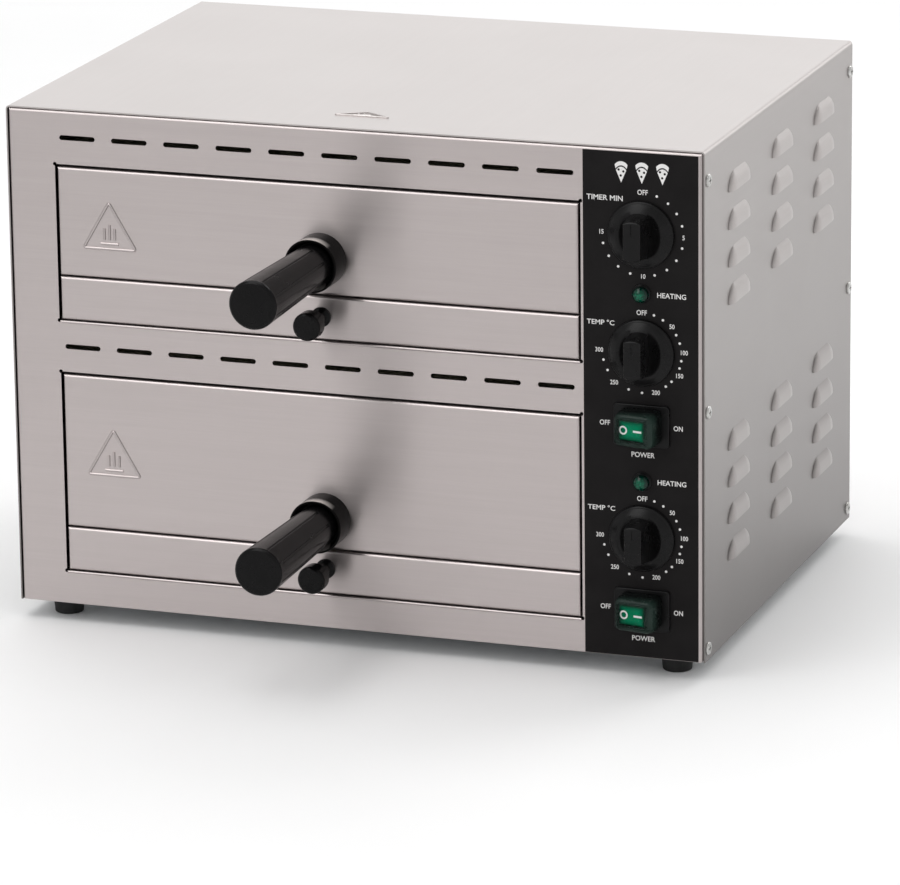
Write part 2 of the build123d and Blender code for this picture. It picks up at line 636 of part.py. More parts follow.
# ---------------------------------------------------------------- controls
def dial_knob():
    """A round skirt that rises to a finger bar between two scooped cheeks."""
    profile = Polyline((0, KNOB_FOOT), (KNOB_R, KNOB_FOOT), (KNOB_R, 2.4))
    profile += ThreePointArc((KNOB_R, 2.4), (KNOB_R - 0.5, 3.6), (KNOB_R - 1.7, 4.2))
    profile += ThreePointArc((KNOB_R - 1.7, 4.2), KNOB_SHOULDER, KNOB_CROWN)
    profile += Polyline(KNOB_CROWN, (0, KNOB_PEAK), (0, KNOB_FOOT))
    skirt = revolve(Plane.XZ * make_face(profile), Axis.Z)
    half = KNOB_BAR_W / 2
    for side in (-1, 1):
        ball = scale(Sphere(KNOB_SCOOP_UP), by=(KNOB_SCOOP_ACROSS / KNOB_SCOOP_UP,
                                                KNOB_SCOOP_ALONG / KNOB_SCOOP_UP, 1))
        ball = Pos(half * side, 0, KNOB_SCOOP_FLOOR + KNOB_SCOOP_UP) * ball
        beside = block(min(side * half, side * 40), max(side * half, side * 40), -40, 40, 0, 60)
        skirt -= ball & beside
    lips = [edge for edge in skirt.edges().filter_by(GeomType.BSPLINE)
            if abs(edge.position_at(0.5).X) > half + 1]
    skirt = fillet(lips, KNOB_SCOOP_LIP)
    bar_foot = KNOB_SCOOP_FLOOR - 0.5
    bar = Pos(0, 0, bar_foot) * Cone(KNOB_BAR_ROOT, KNOB_BAR_TIP, KNOB_TOP - bar_foot, align=BASE)
    bar &= block(-half, half, -30, 30, 0, 40)
    bar = fillet(bar.faces().sort_by(Axis.Z)[-1].edges(), KNOB_BAR_ROUND)
    knob = skirt + bar
    knob -= Pos(0, 0, KNOB_FOOT) * Cylinder(*KNOB_CAVITY, align=BASE)
    knob += Pos(0, 0, KNOB_FOOT + 0.6) * Cylinder(*KNOB_HUB, align=BASE)
    knob -= Cylinder(SHAFT_R + 0.01, 34.0)
    knob -= Pos(0, KNOB_NOTCH_Y, KNOB_TOP) * Box(*KNOB_NOTCH)
    return knob


def control_shaft():
    return Pos(0, 0, -21.8) * Cylinder(SHAFT_R, 38.6, align=BASE)


def control_body(width, height, depth):
    """A timer or thermostat: a box behind the panel with a threaded nose around the shaft."""
    back = Pos(0, 0, -PANEL_T - 0.1 - depth)
    body = back * Box(width, height, depth, align=BASE)
    body += Pos(0, 0, -PANEL_T - 1) * Cylinder(BUSHING_R, PANEL_T + 1.9, align=BASE)
    body -= Pos(0, 0, -24) * Cylinder(SHAFT_BORE_R, 30, align=BASE)
    for side in (-1, 1):
        body -= Pos(side * CONTROL_SCREW_X, 0, -10) * Cylinder(2.0, 12, align=BASE)
        for row in (-1, 1):
            tab = Box(0.8, 6.3, 8, align=BASE)
            body += Pos(side * width / 4, row * height / 4, -PANEL_T - depth - 7.6) * tab
    return body


def control_screws():
    fixing = Pos(0, 0, OVERLAY_T) * screw(2.8, 1.2, 1.9, 8.0)
    return Compound([on_front(fixing, CONTROL_X + side * CONTROL_SCREW_X, z)
                     for z in (TIMER_Z,) + THERMOSTAT_ZS for side in (-1, 1)])


def thermostat_probes():
    """A capillary from each thermostat to the sensing bulb under its chamber's ceiling."""
    probes = []
    for deck, body_z in zip(DECKS, THERMOSTAT_ZS):
        start_z = body_z + 10
        corners = [(215.8, PROBE_Y, start_z), (PROBE_X, PROBE_Y, start_z),
                   (PROBE_X, PROBE_Y, deck.probe_z), (180.0, PROBE_Y, deck.probe_z)]
        path = FilletPolyline(*corners, radius=6.0)
        profile = Plane(origin=path @ 0, z_dir=path % 0) * Circle(PROBE_R)
        line = sweep(profile, path=path)
        probes += (line + rod_x(100, 180.5, PROBE_Y, deck.probe_z, BULB_R)).solids()
    return Compound(probes)


def switch_housing():
    plate = extrude(RectangleRounded(SWITCH_PLATE_W, SWITCH_PLATE_H, 3.0), SWITCH_PLATE_TOP - OVERLAY_T)
    plate = Pos(0, 0, OVERLAY_T) * fillet(plate.faces().sort_by(Axis.Z)[-1].edges(), 0.8)
    body = Pos(0, 0, -24) * Box(SWITCH_CUT_W - 0.6, SWITCH_CUT_H - 0.6, 24 + OVERLAY_T, align=BASE)
    housing = plate + body
    housing -= Pos(0, 0, -9) * Box(26, 17, 30, align=BASE)
    housing -= Pos(0, 0, ROCKER_PIVOT) * Rot(90, 0, 0) * Cylinder(1.3, 20.6)
    for x in (-8, 0, 8):
        housing += Pos(x, 0, -32) * Box(0.8, 6.3, 9, align=BASE)
    return housing


def switch_rocker():
    """A rocker on a cross pin, tilted to the side that is pressed in at OFF."""
    top = Pos(0, 0, 3.5) * Box(ROCKER_W, ROCKER_H, ROCKER_FACE - 3.5, align=BASE)
    top = fillet(top.faces().sort_by(Axis.Z)[-1].edges(), 1.5)
    stem = Pos(0, 0, -4.5) * Box(14, 14, 9, align=BASE)
    pin = Rot(90, 0, 0) * Cylinder(1.25, 20.2)
    return Pos(0, 0, ROCKER_PIVOT) * Rot(0, -ROCKER_TILT, 0) * (top + stem + pin)


def switch_boot():
    """A soft splash cap over the rocker: its foot lies on the plate, its crown follows the rocker."""
    crown = Plane(Pos(BOOT_CROWN_X, 0, BOOT_CROWN_OUT) * Rot(0, -BOOT_LEAN, 0))

    def cap(wall, foot_z, corner):
        foot = Plane.XY.offset(foot_z) * RectangleRounded(BOOT_W - 2 * wall, BOOT_H - 2 * wall, corner)
        head = RectangleRounded(BOOT_CROWN_W - 2 * wall, BOOT_CROWN_H - 2 * wall, corner)
        return loft([foot, crown.offset(-wall) * head])

    outer = cap(0, SWITCH_PLATE_TOP, BOOT_CORNER)
    outer = fillet(outer.faces().sort_by(Axis.Z)[-1].edges(), 2.0)
    inner = cap(BOOT_WALL, SWITCH_PLATE_TOP - 0.01, BOOT_CORNER - BOOT_WALL)
    return outer - inner


def lamp_body():
    body = Pos(0, 0, -LAMP_DEPTH) * Cylinder(LAMP_R, LAMP_DEPTH + 1, align=BASE)
    body += turned([(0, OVERLAY_T), (BEZEL_R, OVERLAY_T), (BEZEL_R, 2 * BEZEL_TOP / 3),
                    (BEZEL_R - 0.8, BEZEL_TOP), (0, BEZEL_TOP)])
    for x in (-2, 2):
        body += Pos(x, 0, -LAMP_DEPTH - 8) * Box(*LAMP_TAB, align=BASE)
    return body - Pos(0, 0, LENS_SEAT) * Cylinder(LENS_R + 0.1, 3, align=BASE)


def lamp_lens():
    barrel = Pos(0, 0, LENS_SEAT) * Cylinder(LENS_R, 12, align=BASE)
    return barrel & Pos(0, 0, LENS_DOME_CENTRE) * Sphere(LENS_DOME_R)


# ---------------------------------------------------------------- mains parts
def terminal_block():
    terminals = block(216, 262, 340, 358, PANEL_T, 24)
    for i in range(3):
        x = 224 + i * 15
        terminals -= rod_z(x, 345, 14, 30, 2.5)
        terminals -= rod_z(x, 353, 14, 30, 2.5)
        terminals -= rod_y(x, 330, 344, 9, 2.2)
    return terminals


def earth_stud():
    x, y = 228, 385
    stud = rod_z(x, y, PANEL_T, 20, 3.0)
    nut = Pos(x, y, PANEL_T) * extrude(RegularPolygon(5.8, 6), 5) - rod_z(x, y, 0, 21, 3.01)
    return Compound(stud.solids() + nut.solids())


def cable_gland():
    """A gland clamped through the rear panel: hexagon body, domed nut and an inner locknut."""
    thread = Pos(0, 0, -10) * Cylinder(GLAND_R, 12, align=BASE)
    hexagon = extrude(RegularPolygon(12.5, 6), 7)
    dome = turned([(0, 7), (10.8, 7), (10.8, 14), (9.6, 18), (7.2, 21), (6.0, GLAND_REACH - 0.2),
                   (0, GLAND_REACH - 0.2)])
    locknut = Pos(0, 0, -PANEL_T - 4) * extrude(RegularPolygon(12.0, 6), 4)
    gland = thread + hexagon + dome + locknut
    gland -= Cylinder(GLAND_BORE_R, 80)
    return on_rear(gland, GLAND_X, GLAND_Z)


# ---------------------------------------------------------------- the whole oven
def build():
    nodes = {
        "outer_cover": outer_cover(),
        "front_panel": front_panel(),
        "control_overlay": control_overlay(),
        "base_plate": base_plate(),
        "rear_panel": rear_panel(),
        "heat_shield": heat_shield(),
        "rubber_feet": rubber_feet(),
        "foot_screws": foot_screws(),
        "cover_screws": cover_screws(),
        "chamber_insulation": chamber_insulation(),
        "element_supports": element_supports(),
        "rack_runners": rack_runners(),
        "control_screws": control_screws(),
        "thermostat_probes": thermostat_probes(),
        "terminal_block": terminal_block(),
        "earth_stud": earth_stud(),
        "cable_gland": cable_gland(),
        "timer_body": on_front(control_body(46, 46, 40), CONTROL_X, TIMER_Z),
    }
    for deck in DECKS:
        nodes[deck.name + "_chamber"] = chamber(deck)
        nodes[deck.name + "_top_element"] = heating_element(deck.high_element_z)
        nodes[deck.name + "_bottom_element"] = heating_element(deck.low_element_z)
        nodes[deck.name + "_door_skin"] = door_skin(deck)
        nodes[deck.name + "_door_liner"] = door_liner(deck)
        nodes[deck.name + "_handle_collar"] = handle_collar(deck)
        nodes[deck.name + "_handle_grip"] = handle_grip(deck)
        nodes[deck.name + "_handle_bolt"] = handle_bolt(deck)
        nodes[deck.name + "_wire_rack"] = wire_rack(deck)
        nodes[deck.name + "_rack_screws"] = rack_screws(deck)
        nodes[deck.name + "_tray_front"] = tray_front(deck)
        nodes[deck.name + "_crumb_tray"] = crumb_tray(deck)
        nodes[deck.name + "_tray_knob"] = tray_knob(deck)
        nodes[deck.name + "_tray_knob_screw"] = tray_knob_screw(deck)
    dials = {"timer": TIMER_Z, "upper_thermostat": THERMOSTAT_ZS[0], "lower_thermostat": THERMOSTAT_ZS[1]}
    for name, z in dials.items():
        nodes[name + "_knob"] = on_front(dial_knob(), CONTROL_X, z)
        nodes[name + "_shaft"] = on_front(control_shaft(), CONTROL_X, z)
    bodies = [on_front(control_body(42, 34, 30), CONTROL_X, z).solids() for z in THERMOSTAT_ZS]
    nodes["thermostat_bodies"] = Compound([solid for body in bodies for solid in body])
    for name, z in zip(("upper", "lower"), SWITCH_ZS):
        nodes[name + "_switch_rocker"] = on_front(switch_rocker(), CONTROL_X, z)
        nodes[name + "_switch_boot"] = on_front(switch_boot(), CONTROL_X, z)
    nodes["switch_housings"] = Compound([on_front(switch_housing(), CONTROL_X, z) for z in SWITCH_ZS])
    nodes["lamp_bodies"] = Compound([on_front(lamp_body(), CONTROL_X, z) for z in LAMP_ZS])
    nodes["lamp_lenses"] = Compound([on_front(lamp_lens(), CONTROL_X, z) for z in LAMP_ZS])
    return nodes


os.makedirs("parts", exist_ok=True)
for node, shape in build().items():
    export_step(PLACE * shape, "parts/" + node + ".step")
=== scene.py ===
import json
import math

import bmesh
import bpy
from mathutils import Matrix, Vector


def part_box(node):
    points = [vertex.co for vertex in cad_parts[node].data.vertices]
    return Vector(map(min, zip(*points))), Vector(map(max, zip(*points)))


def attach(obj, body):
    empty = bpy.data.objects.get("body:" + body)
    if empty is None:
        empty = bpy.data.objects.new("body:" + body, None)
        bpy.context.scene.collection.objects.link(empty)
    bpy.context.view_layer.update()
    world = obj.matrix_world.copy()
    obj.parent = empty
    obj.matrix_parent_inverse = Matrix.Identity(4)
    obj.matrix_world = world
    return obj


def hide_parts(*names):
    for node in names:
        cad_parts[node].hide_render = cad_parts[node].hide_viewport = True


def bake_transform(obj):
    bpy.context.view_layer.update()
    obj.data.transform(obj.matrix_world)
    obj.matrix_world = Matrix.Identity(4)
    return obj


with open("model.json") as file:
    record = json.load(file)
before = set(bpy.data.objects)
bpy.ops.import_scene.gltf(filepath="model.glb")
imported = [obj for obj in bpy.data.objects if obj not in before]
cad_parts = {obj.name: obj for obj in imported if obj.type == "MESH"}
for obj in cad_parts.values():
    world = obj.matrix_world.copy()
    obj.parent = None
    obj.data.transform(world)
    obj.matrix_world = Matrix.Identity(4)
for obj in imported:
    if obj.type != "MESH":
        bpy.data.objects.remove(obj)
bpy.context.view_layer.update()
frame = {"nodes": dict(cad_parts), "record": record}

# Looks of the two-deck countertop pizza oven. Places on the casing are given as the CAD source
# gives them: millimetres from the casing's centre line, out from its front face and up from its
# underside. Values times MM are metres. Everything else comes from the boxes of the CAD nodes.
MM = 0.001
NODES = frame["nodes"]
SLOT_OF = {row["node"]: row["material_slot"] for row in frame["record"]["subparts"]}
FRONT_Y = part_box("front_panel")[0].y
CASING_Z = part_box("outer_cover")[0].z
CASING_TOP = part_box("outer_cover")[1].z
LOUVRE_OUT = 3.3 * MM
SIDE_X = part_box("outer_cover")[1].x - LOUVRE_OUT        # the cover's flat right side
CONTROLS_X = 237.0              # the upright line of dials, lamps and switches
DECKS = ("upper", "lower")

# The photograph's view, solved from the casing's corners: degrees, metres and a 36 mm sensor.
VIEW_AZIMUTH, VIEW_ELEVATION, VIEW_ROLL = 19.378287, 15.897652, -0.689618
VIEW_PLACE = (1.5887, FRONT_Y - 4.2893, 1.4711)
VIEW_LENS, VIEW_SENSOR = 242.70, 36

# The studio: its brightness at the horizon and from HIGH_UP (the sine of the elevation) upwards,
# and a floor that fades into the horizon, in metres from the middle.
HORIZON, OVERHEAD, HIGH_UP = 0.92, 0.6, 0.8
FLOOR_HALF = 8.0
FADE_START, FADE_END = 1.5, 3.0

# Depths over which a material changes its tone; most of these changes are painted light or painted shade.
FOLD = 3 * MM                   # the cover's top fold, below its top
LOUVRE_HIGHLIGHT_DEPTH, LOUVRE_HIGHLIGHT = 2.5 * MM, 0.18                    # painted highlight out over the louvres: its depth out from the flat side and how much brighter
COLLAR_RIM, COLLAR_BACK = 22 * MM, 15 * MM              # where a collar's painted highlight runs along its top rim, out from the front face
BOOT_FRONT, BOOT_MID = 20 * MM, 12 * MM                 # a boot's colour darkens from crown to wall
BOOT_CLEAR, BOOT_SOLID = 15 * MM, 9 * MM                # and its clear window ends in between
LENS_R = 6.0 * MM

# Ceramic bushes, where an element's two legs pass through a chamber's rear wall.
ROD_R = 4.2 * MM                # just outside an element's rod
LEG_INSET = 7 * MM              # a leg's axis, in from the element's side
BUSH_BEFORE, BUSH_BEHIND = 5 * MM, 11 * MM
BUSH_REACH = 16 * MM

# Print on the control overlay. Words are (text, across, up, width) about their control.
INK_T = 0.05 * MM
DIGIT_HEIGHT = 3.7
WORD_HEIGHT = 4.1
CONDENSE = 0.86                 # how much narrower the letters are than the plain font's
OVERLAY_OUT = (FRONT_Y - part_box("control_overlay")[0].y) / MM
DOT_R = 1.0
TIMER_R = 32.8
TIMER_SHIFT = 0.8
TIMER_MARKS = (("5", 90.5), ("10", 179), ("15", 270.5))
TIMER_DOTS = ((20.5, 18.0), (105.3, 19.2), (197.6, 19.0))       # first dot and step of each group
DOTS_IN_GROUP = 4
TIMER_WORDS = (("OFF", 1, 33.1, None), ("TIMER MIN", -29.4, 27.2, 29))
THERMOSTAT_DOTS_R = 31.9
THERMOSTAT_MARKS = (("50", 47.3, 33.0), ("100", 86.0, 34.2), ("150", 118.1, 34.4), ("200", 160.0, 32.9),
                    ("250", 221.6, 33.7), ("300", 270.0, 34.3))
THERMOSTAT_DOTS = (17.9, 32.2, 59.8, 72.6, 97.7, 108.6, 131.7, 143.0, 179.9, 199.6, 240.1, 255.7)
THERMOSTAT_WORDS = (("OFF", 0, 31.7, None), ("TEMP \u00b0C", -33.1, 22, 22.2))
SWITCH_WORDS = (("OFF", -30, 0, None), ("ON", 29.1, -0.6, None), ("POWER", 0.8, -23.7, 18.7))
LAMP_WORDS = (("HEATING", 24, 0, 23.1),)
LAMP_WORD_Z = {"upper": 292.2, "lower": 143.1}
ICON_SHIFT, ICON_STEP, ICON_Z = 0.4, 16.5, 388.5

# Rockers and the soft splash boots over them, drawn as they sit at OFF.
ROCKER_PIVOT_OUT = 1.5
ROCKER_FACE = 18.0
ROCKER_LEAN = math.radians(11.5)
ROCKER_SHIFT = 2.4              # the face's middle, left of the pivot
ROCKER_HALF = (11.0, 8.2)
WINDOW_HALF = (12.2, 9.2)       # the clear part of the crown, over the rocker's face
RING_R = (3.5, 2.2)
RING_X = -6.3
BAR_HALF = (3.6, 0.8)
BAR_X = 6.0
ROCKER_MARK_T = 0.15 * MM
BOOT_FOOT = (33.0, 27.4)
BOOT_FOOT_OUT = 3.0
BOOT_CROWN = (32.4, 25.6)
BOOT_CROWN_PLACE = (-1.6, 0.0, 21.4)
BOOT_LEAN = math.radians(9.5)
BOOT_CORNER = 5.0
BOOT_CORNER_LEAST = 1.2
BOOT_EDGE = 2.6
BOOT_WALL = 1.1
BOOT_BULGE = 0.035              # share by which the wall swells at half height
BOOT_DOME = 0.35
WALL_STEPS, EDGE_STEPS, CROWN_STEPS = 8, 6, 8
CORNER_POINTS, SIDE_STEPS = 7, 6

# Pressed marks and the rolled edge under each opening.
MARK_HALF, MARK_HEIGHT, MARK_CORNER = 22.2, 37.5, 2.5
RIDGE_R, RIDGE_RISE = 1.1, 0.9
MARK_BAR_HALF, MARK_BAR_UP = 7.5, 4.2
RIB_STEP, RIB_FOOT, RIB_TOP, RIB_DROP = 4.4, 7.5, 19.5, 3
DOOR_MARKS = (("upper", -202.0, 296.2), ("lower", -203.4, 110.2))
TOP_MARK_X, TOP_MARK_BACK, TOP_MARK_DEPTH = -4, 41, 0.35
LIP_R = 1.0
LIP_RISE = 0.7
LIP_DROP = 1.0 + LIP_R          # below the crumb tray front
LIP_OVER = 0.6                  # past the tray front at each end


def spot(x, out, z):
    """A place by the front face: mm from the centre line, out from the face and up."""
    return Vector((x * MM, FRONT_Y - out * MM, CASING_Z + z * MM))


def centre(node):
    low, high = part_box(node)
    return (low + high) / 2


def switch_middle(deck):
    """(x, z) of a switch in mm on the casing."""
    low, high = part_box(deck + "_switch_boot")
    return CONTROLS_X, ((low.z + high.z) / 2 - CASING_Z) / MM


# ---------------------------------------------------------------- camera, lights and floor
def make_camera():
    """The photograph's view: a long lens from the front right and above."""
    azimuth, elevation, roll = (math.radians(a) for a in (VIEW_AZIMUTH, VIEW_ELEVATION, VIEW_ROLL))
    ahead = Vector((-math.sin(azimuth) * math.cos(elevation),
                    math.cos(azimuth) * math.cos(elevation), -math.sin(elevation)))
    level = Vector((math.cos(azimuth), math.sin(azimuth), 0))
    upright = level.cross(ahead)
    right = math.cos(roll) * level + math.sin(roll) * upright
    up = math.cos(roll) * upright - math.sin(roll) * level
    data = bpy.data.cameras.new("camera")
    data.lens = VIEW_LENS
    data.sensor_width = VIEW_SENSOR
    data.clip_start, data.clip_end = 0.1, 100
    camera = bpy.data.objects.new("camera", data)
    bpy.context.collection.objects.link(camera)
    turn = Matrix((right, up, -ahead)).transposed()
    camera.matrix_world = Matrix.Translation(VIEW_PLACE) @ turn.to_4x4()
    bpy.context.scene.camera = camera


def softbox(name, place, target, width, height, power, diffuse=True, glossy=True):
    """An area light. Without diffuse it only shows in gloss, and without glossy it never does."""
    data = bpy.data.lights.new(name, "AREA")
    data.shape = "RECTANGLE"
    data.size, data.size_y = width, height
    data.energy = power
    light = bpy.data.objects.new(name, data)
    bpy.context.collection.objects.link(light)
    aim = Vector(target) - Vector(place)
    light.matrix_world = Matrix.Translation(place) @ aim.to_track_quat("-Z", "Y").to_matrix().to_4x4()
    light.visible_camera = False
    light.visible_diffuse = diffuse
    light.visible_glossy = glossy


def make_world():
    """A pale studio, brightest at the horizon."""
    world = bpy.data.worlds.new("studio")
    world.use_nodes = True
    tree = world.node_tree
    direction = tree.nodes.new("ShaderNodeTexCoord")
    parts = tree.nodes.new("ShaderNodeSeparateXYZ")
    level = tree.nodes.new("ShaderNodeMapRange")
    for socket, value in (("From Min", 0.0), ("From Max", HIGH_UP), ("To Min", HORIZON),
                          ("To Max", OVERHEAD)):
        level.inputs[socket].default_value = value
    background = tree.nodes["Background"]
    background.inputs["Color"].default_value = (1, 1, 1, 1)
    tree.links.new(direction.outputs["Generated"], parts.inputs[0])
    tree.links.new(parts.outputs["Z"], level.inputs["Value"])
    tree.links.new(level.outputs["Result"], background.inputs["Strength"])
    bpy.context.scene.world = world


def make_studio():
    make_world()
    middle = (0, 0, 0.2)
    softbox("overhead_softbox", (-0.5, -0.1, 2.6), middle, 2.8, 2.0, 34)
    softbox("edge_strip", (-0.95, -2.1, 2.1), middle, 1.5, 1.9, 24, diffuse=False)
    softbox("right_softbox", (1.2, 1.9, 2.4), (0.7, 0.5, 0), 1.2, 1.2, 18)
    softbox("left_fill", (-1.6, -2.4, 2.4), middle, 2.0, 2.0, 8, glossy=False)
    softbox("right_fill", (2.6, -0.2, 2.0), (0.5, 0, 0), 2.0, 2.0, 12, glossy=False)
    softbox("side_panel", (1.4, 3.2, 1.1), middle, 1.6, 1.2, 6, diffuse=False)
    softbox("back_panel", (-1.3, 3.4, 1.3), (-0.3, 0, 0.5), 3.4, 2.2, 12)
    bpy.context.scene.view_settings.view_transform = "Standard"


def make_floor():
    """A pale floor that runs out into the studio's own white."""
    half = FLOOR_HALF
    mesh = bpy.data.meshes.new("floor")
    mesh.from_pydata([(-half, -half, 0), (half, -half, 0), (half, half, 0), (-half, half, 0)], [],
                     [(0, 1, 2, 3)])
    floor = bpy.data.objects.new("floor", mesh)
    bpy.context.collection.objects.link(floor)
    look = Look("floor_white", (0.88, 0.88, 0.88), roughness=0.6, specular=0.2)
    near = look.tint(look.noise(3, detail=2), (0.87, 0.87, 0.87), (0.89, 0.89, 0.89))
    squares = [look.math("MULTIPLY", look.axis(name), look.axis(name)) for name in ("X", "Y")]
    far = look.span(look.math("SQRT", look.math("ADD", *squares)), 0, 1, FADE_START, FADE_END)
    look.link(look.mix(far, near, (0.02, 0.02, 0.02)), look.shader.inputs["Base Color"])
    look.set("Emission Color", (1, 1, 1, 1))
    look.link(look.math("MULTIPLY", far, HORIZON), look.shader.inputs["Emission Strength"])
    mesh.materials.append(look.material)


# ---------------------------------------------------------------- materials
class Look:
    """A Principled material whose patterns come from the object's own coordinates, in metres.

    A pattern's scale is one number, or one for each axis."""

    def __init__(self, name, colour, roughness, metallic=0.0, specular=0.5):
        self.material = bpy.data.materials.new(name)
        self.material.use_nodes = True
        self.tree = self.material.node_tree
        self.shader = self.tree.nodes["Principled BSDF"]
        self.set("Base Color", (*colour, 1))
        self.set("Roughness", roughness)
        self.set("Metallic", metallic)
        self.set("Specular IOR Level", specular)
        self.where = self.add("ShaderNodeTexCoord").outputs["Object"]

    def add(self, kind, **settings):
        node = self.tree.nodes.new(kind)
        for key, value in settings.items():
            setattr(node, key, value)
        return node

    def set(self, socket, value):
        self.shader.inputs[socket].default_value = value

    def link(self, output, target):
        self.tree.links.new(output, target)

    def scaled(self, scale):
        mapping = self.add("ShaderNodeMapping")
        mapping.inputs["Scale"].default_value = scale if isinstance(scale, tuple) else (scale,) * 3
        self.link(self.where, mapping.inputs["Vector"])
        return mapping.outputs["Vector"]

    def noise(self, scale, detail=3.0, roughness=0.55, distortion=0.0):
        node = self.add("ShaderNodeTexNoise")
        node.inputs["Scale"].default_value = 1.0
        node.inputs["Detail"].default_value = detail
        node.inputs["Roughness"].default_value = roughness
        node.inputs["Distortion"].default_value = distortion
        self.link(self.scaled(scale), node.inputs["Vector"])
        return node.outputs["Fac"]

    def cells(self, scale):
        node = self.add("ShaderNodeTexVoronoi")
        node.inputs["Scale"].default_value = 1.0
        self.link(self.scaled(scale), node.inputs["Vector"])
        return node

    def span(self, factor, low, high, start=0.3, end=0.7):
        """Runs from low to high as the factor goes from start to end, and stays there beyond."""
        node = self.add("ShaderNodeMapRange")
        for socket, value in (("From Min", start), ("From Max", end), ("To Min", low), ("To Max", high)):
            node.inputs[socket].default_value = value
        self.link(factor, node.inputs["Value"])
        return node.outputs["Result"]

    def mix(self, factor, first, second):
        node = self.add("ShaderNodeMix", data_type="RGBA")
        for socket, value in zip(node.inputs[6:8], (first, second)):       # its two colours
            if isinstance(value, tuple):
                socket.default_value = (*value, 1)
            else:
                self.link(value, socket)
        self.link(factor, node.inputs[0])
        return node.outputs[2]

    def math(self, operation, *values):
        node = self.add("ShaderNodeMath", operation=operation)
        for socket, value in zip(node.inputs, values):
            if isinstance(value, (int, float)):
                socket.default_value = value
            else:
                self.link(value, socket)
        return node.outputs[0]

    def times(self, colour, factor):
        node = self.add("ShaderNodeVectorMath", operation="SCALE")
        self.link(colour, node.inputs[0])
        self.link(factor, node.inputs["Scale"])
        return node.outputs[0]

    def axis(self, name):
        node = self.add("ShaderNodeSeparateXYZ")
        self.link(self.where, node.inputs[0])
        return node.outputs[name]

    def tint(self, factor, first, second, start=0.3, end=0.7):
        colour = self.mix(self.span(factor, 0, 1, start, end), first, second)
        self.link(colour, self.shader.inputs["Base Color"])
        return colour

    def vary_roughness(self, factor, low, high):
        self.link(self.span(factor, low, high), self.shader.inputs["Roughness"])

    def bump(self, height, depth, strength):
        node = self.add("ShaderNodeBump")
        node.inputs["Distance"].default_value = depth
        node.inputs["Strength"].default_value = strength
        self.link(height, node.inputs["Height"])
        self.link(node.outputs["Normal"], self.shader.inputs["Normal"])

    def stretch_gloss(self, amount, across):
        """Brushed metal spreads its reflections across the grain."""
        self.set("Anisotropic", amount)
        direction = self.add("ShaderNodeCombineXYZ")
        for socket, value in zip(direction.inputs, across):
            socket.default_value = value
        self.link(direction.outputs[0], self.shader.inputs["Tangent"])


def brushed(name, grain, across, light, dark, rough, spread, low, under_top=1.0):
    """Sheet steel with fine grain: grain is the noise scale along x, y and z.

    The sheet's tone is painted light and shade: it runs from low, at the foot of the casing, to
    under_top, below its top, and to full tone on the top itself. What stands out from the right side gets
    a painted highlight."""
    look = Look(name, light, rough, metallic=1.0)
    fine = look.noise(grain, detail=4)
    coarse = look.noise(tuple(s / 6 for s in grain), detail=3)
    smudge = look.noise(9, detail=3, distortion=0.4)
    streaks = look.math("ADD", look.math("MULTIPLY", fine, 0.6), look.math("MULTIPLY", coarse, 0.4))
    clean = look.mix(look.span(streaks, 0, 1), dark, light)
    # Painted light and shade: the tone changes with height, from low at the foot to under_top below the
    # fold, and is full on the top itself.
    tone = look.span(look.axis("Z"), low, under_top, CASING_Z, CASING_TOP - FOLD)
    lift = look.span(look.axis("Z"), 0, 1 - under_top, CASING_TOP - FOLD, CASING_TOP)
    # Painted highlight over the louvres, out from the flat right side.
    louvre_highlight = look.span(look.axis("X"), 0, LOUVRE_HIGHLIGHT, SIDE_X, SIDE_X + LOUVRE_HIGHLIGHT_DEPTH)
    tone = look.math("ADD", look.math("ADD", tone, lift), louvre_highlight)
    look.link(look.times(clean, tone), look.shader.inputs["Base Color"])
    blend = look.math("ADD", look.math("MULTIPLY", streaks, 0.6), look.math("MULTIPLY", smudge, 0.4))
    look.vary_roughness(blend, rough - 0.02, rough + 0.03)
    look.bump(streaks, 0.00003, 0.03)
    look.stretch_gloss(spread, across)
    return look.material


def stainless_front():
    # Painted light: the front grows brighter towards the casing's foot.
    return brushed("stainless_grain_across", (22, 900, 1700), (0, 0, 1), (0.42, 0.38, 0.374),
                   (0.393, 0.354, 0.348), 0.3, 0.9, low=1.17)


def stainless_cover():
    # Painted shade: the cover's sides darken towards the foot and stay darker than its top.
    return brushed("stainless_grain_deep", (1500, 20, 1500), (1, 0, 1), (0.51, 0.475, 0.463),
                   (0.47, 0.437, 0.425), 0.34, 0.6, low=0.38, under_top=0.71)


def aluminised():
    look = Look("aluminised_steel", (0.6, 0.58, 0.55), 0.38, metallic=1.0)
    grain = look.noise(60, detail=5)
    heat = look.noise(7, detail=3, distortion=0.6)
    plain = look.mix(look.span(grain, 0, 1), (0.52, 0.51, 0.49), (0.64, 0.63, 0.61))
    colour = look.mix(look.span(heat, 0, 0.55, 0.45, 0.75), plain, (0.42, 0.31, 0.2))
    look.link(colour, look.shader.inputs["Base Color"])
    look.vary_roughness(heat, 0.3, 0.5)
    look.bump(look.noise(900), 0.00002, 0.3)
    return look.material


def galvanised():
    look = Look("galvanised_steel", (0.55, 0.57, 0.58), 0.42, metallic=1.0)
    spangle = look.cells(110)
    tone = look.add("ShaderNodeSeparateColor")
    look.link(spangle.outputs["Color"], tone.inputs[0])
    look.tint(tone.outputs[0], (0.42, 0.44, 0.46), (0.66, 0.68, 0.69), 0, 1)
    look.vary_roughness(tone.outputs[1], 0.34, 0.52)
    look.bump(look.noise(500), 0.00003, 0.3)
    return look.material


def black_film():
    look = Look("black_film", (0.0075, 0.0066, 0.0068), 0.5, specular=0.1)
    look.tint(look.noise(40), (0.0066, 0.0057, 0.0059), (0.0092, 0.0082, 0.0084))
    look.vary_roughness(look.noise(25), 0.44, 0.55)
    look.bump(look.noise(2600, detail=1), 0.00002, 0.35)
    return look.material


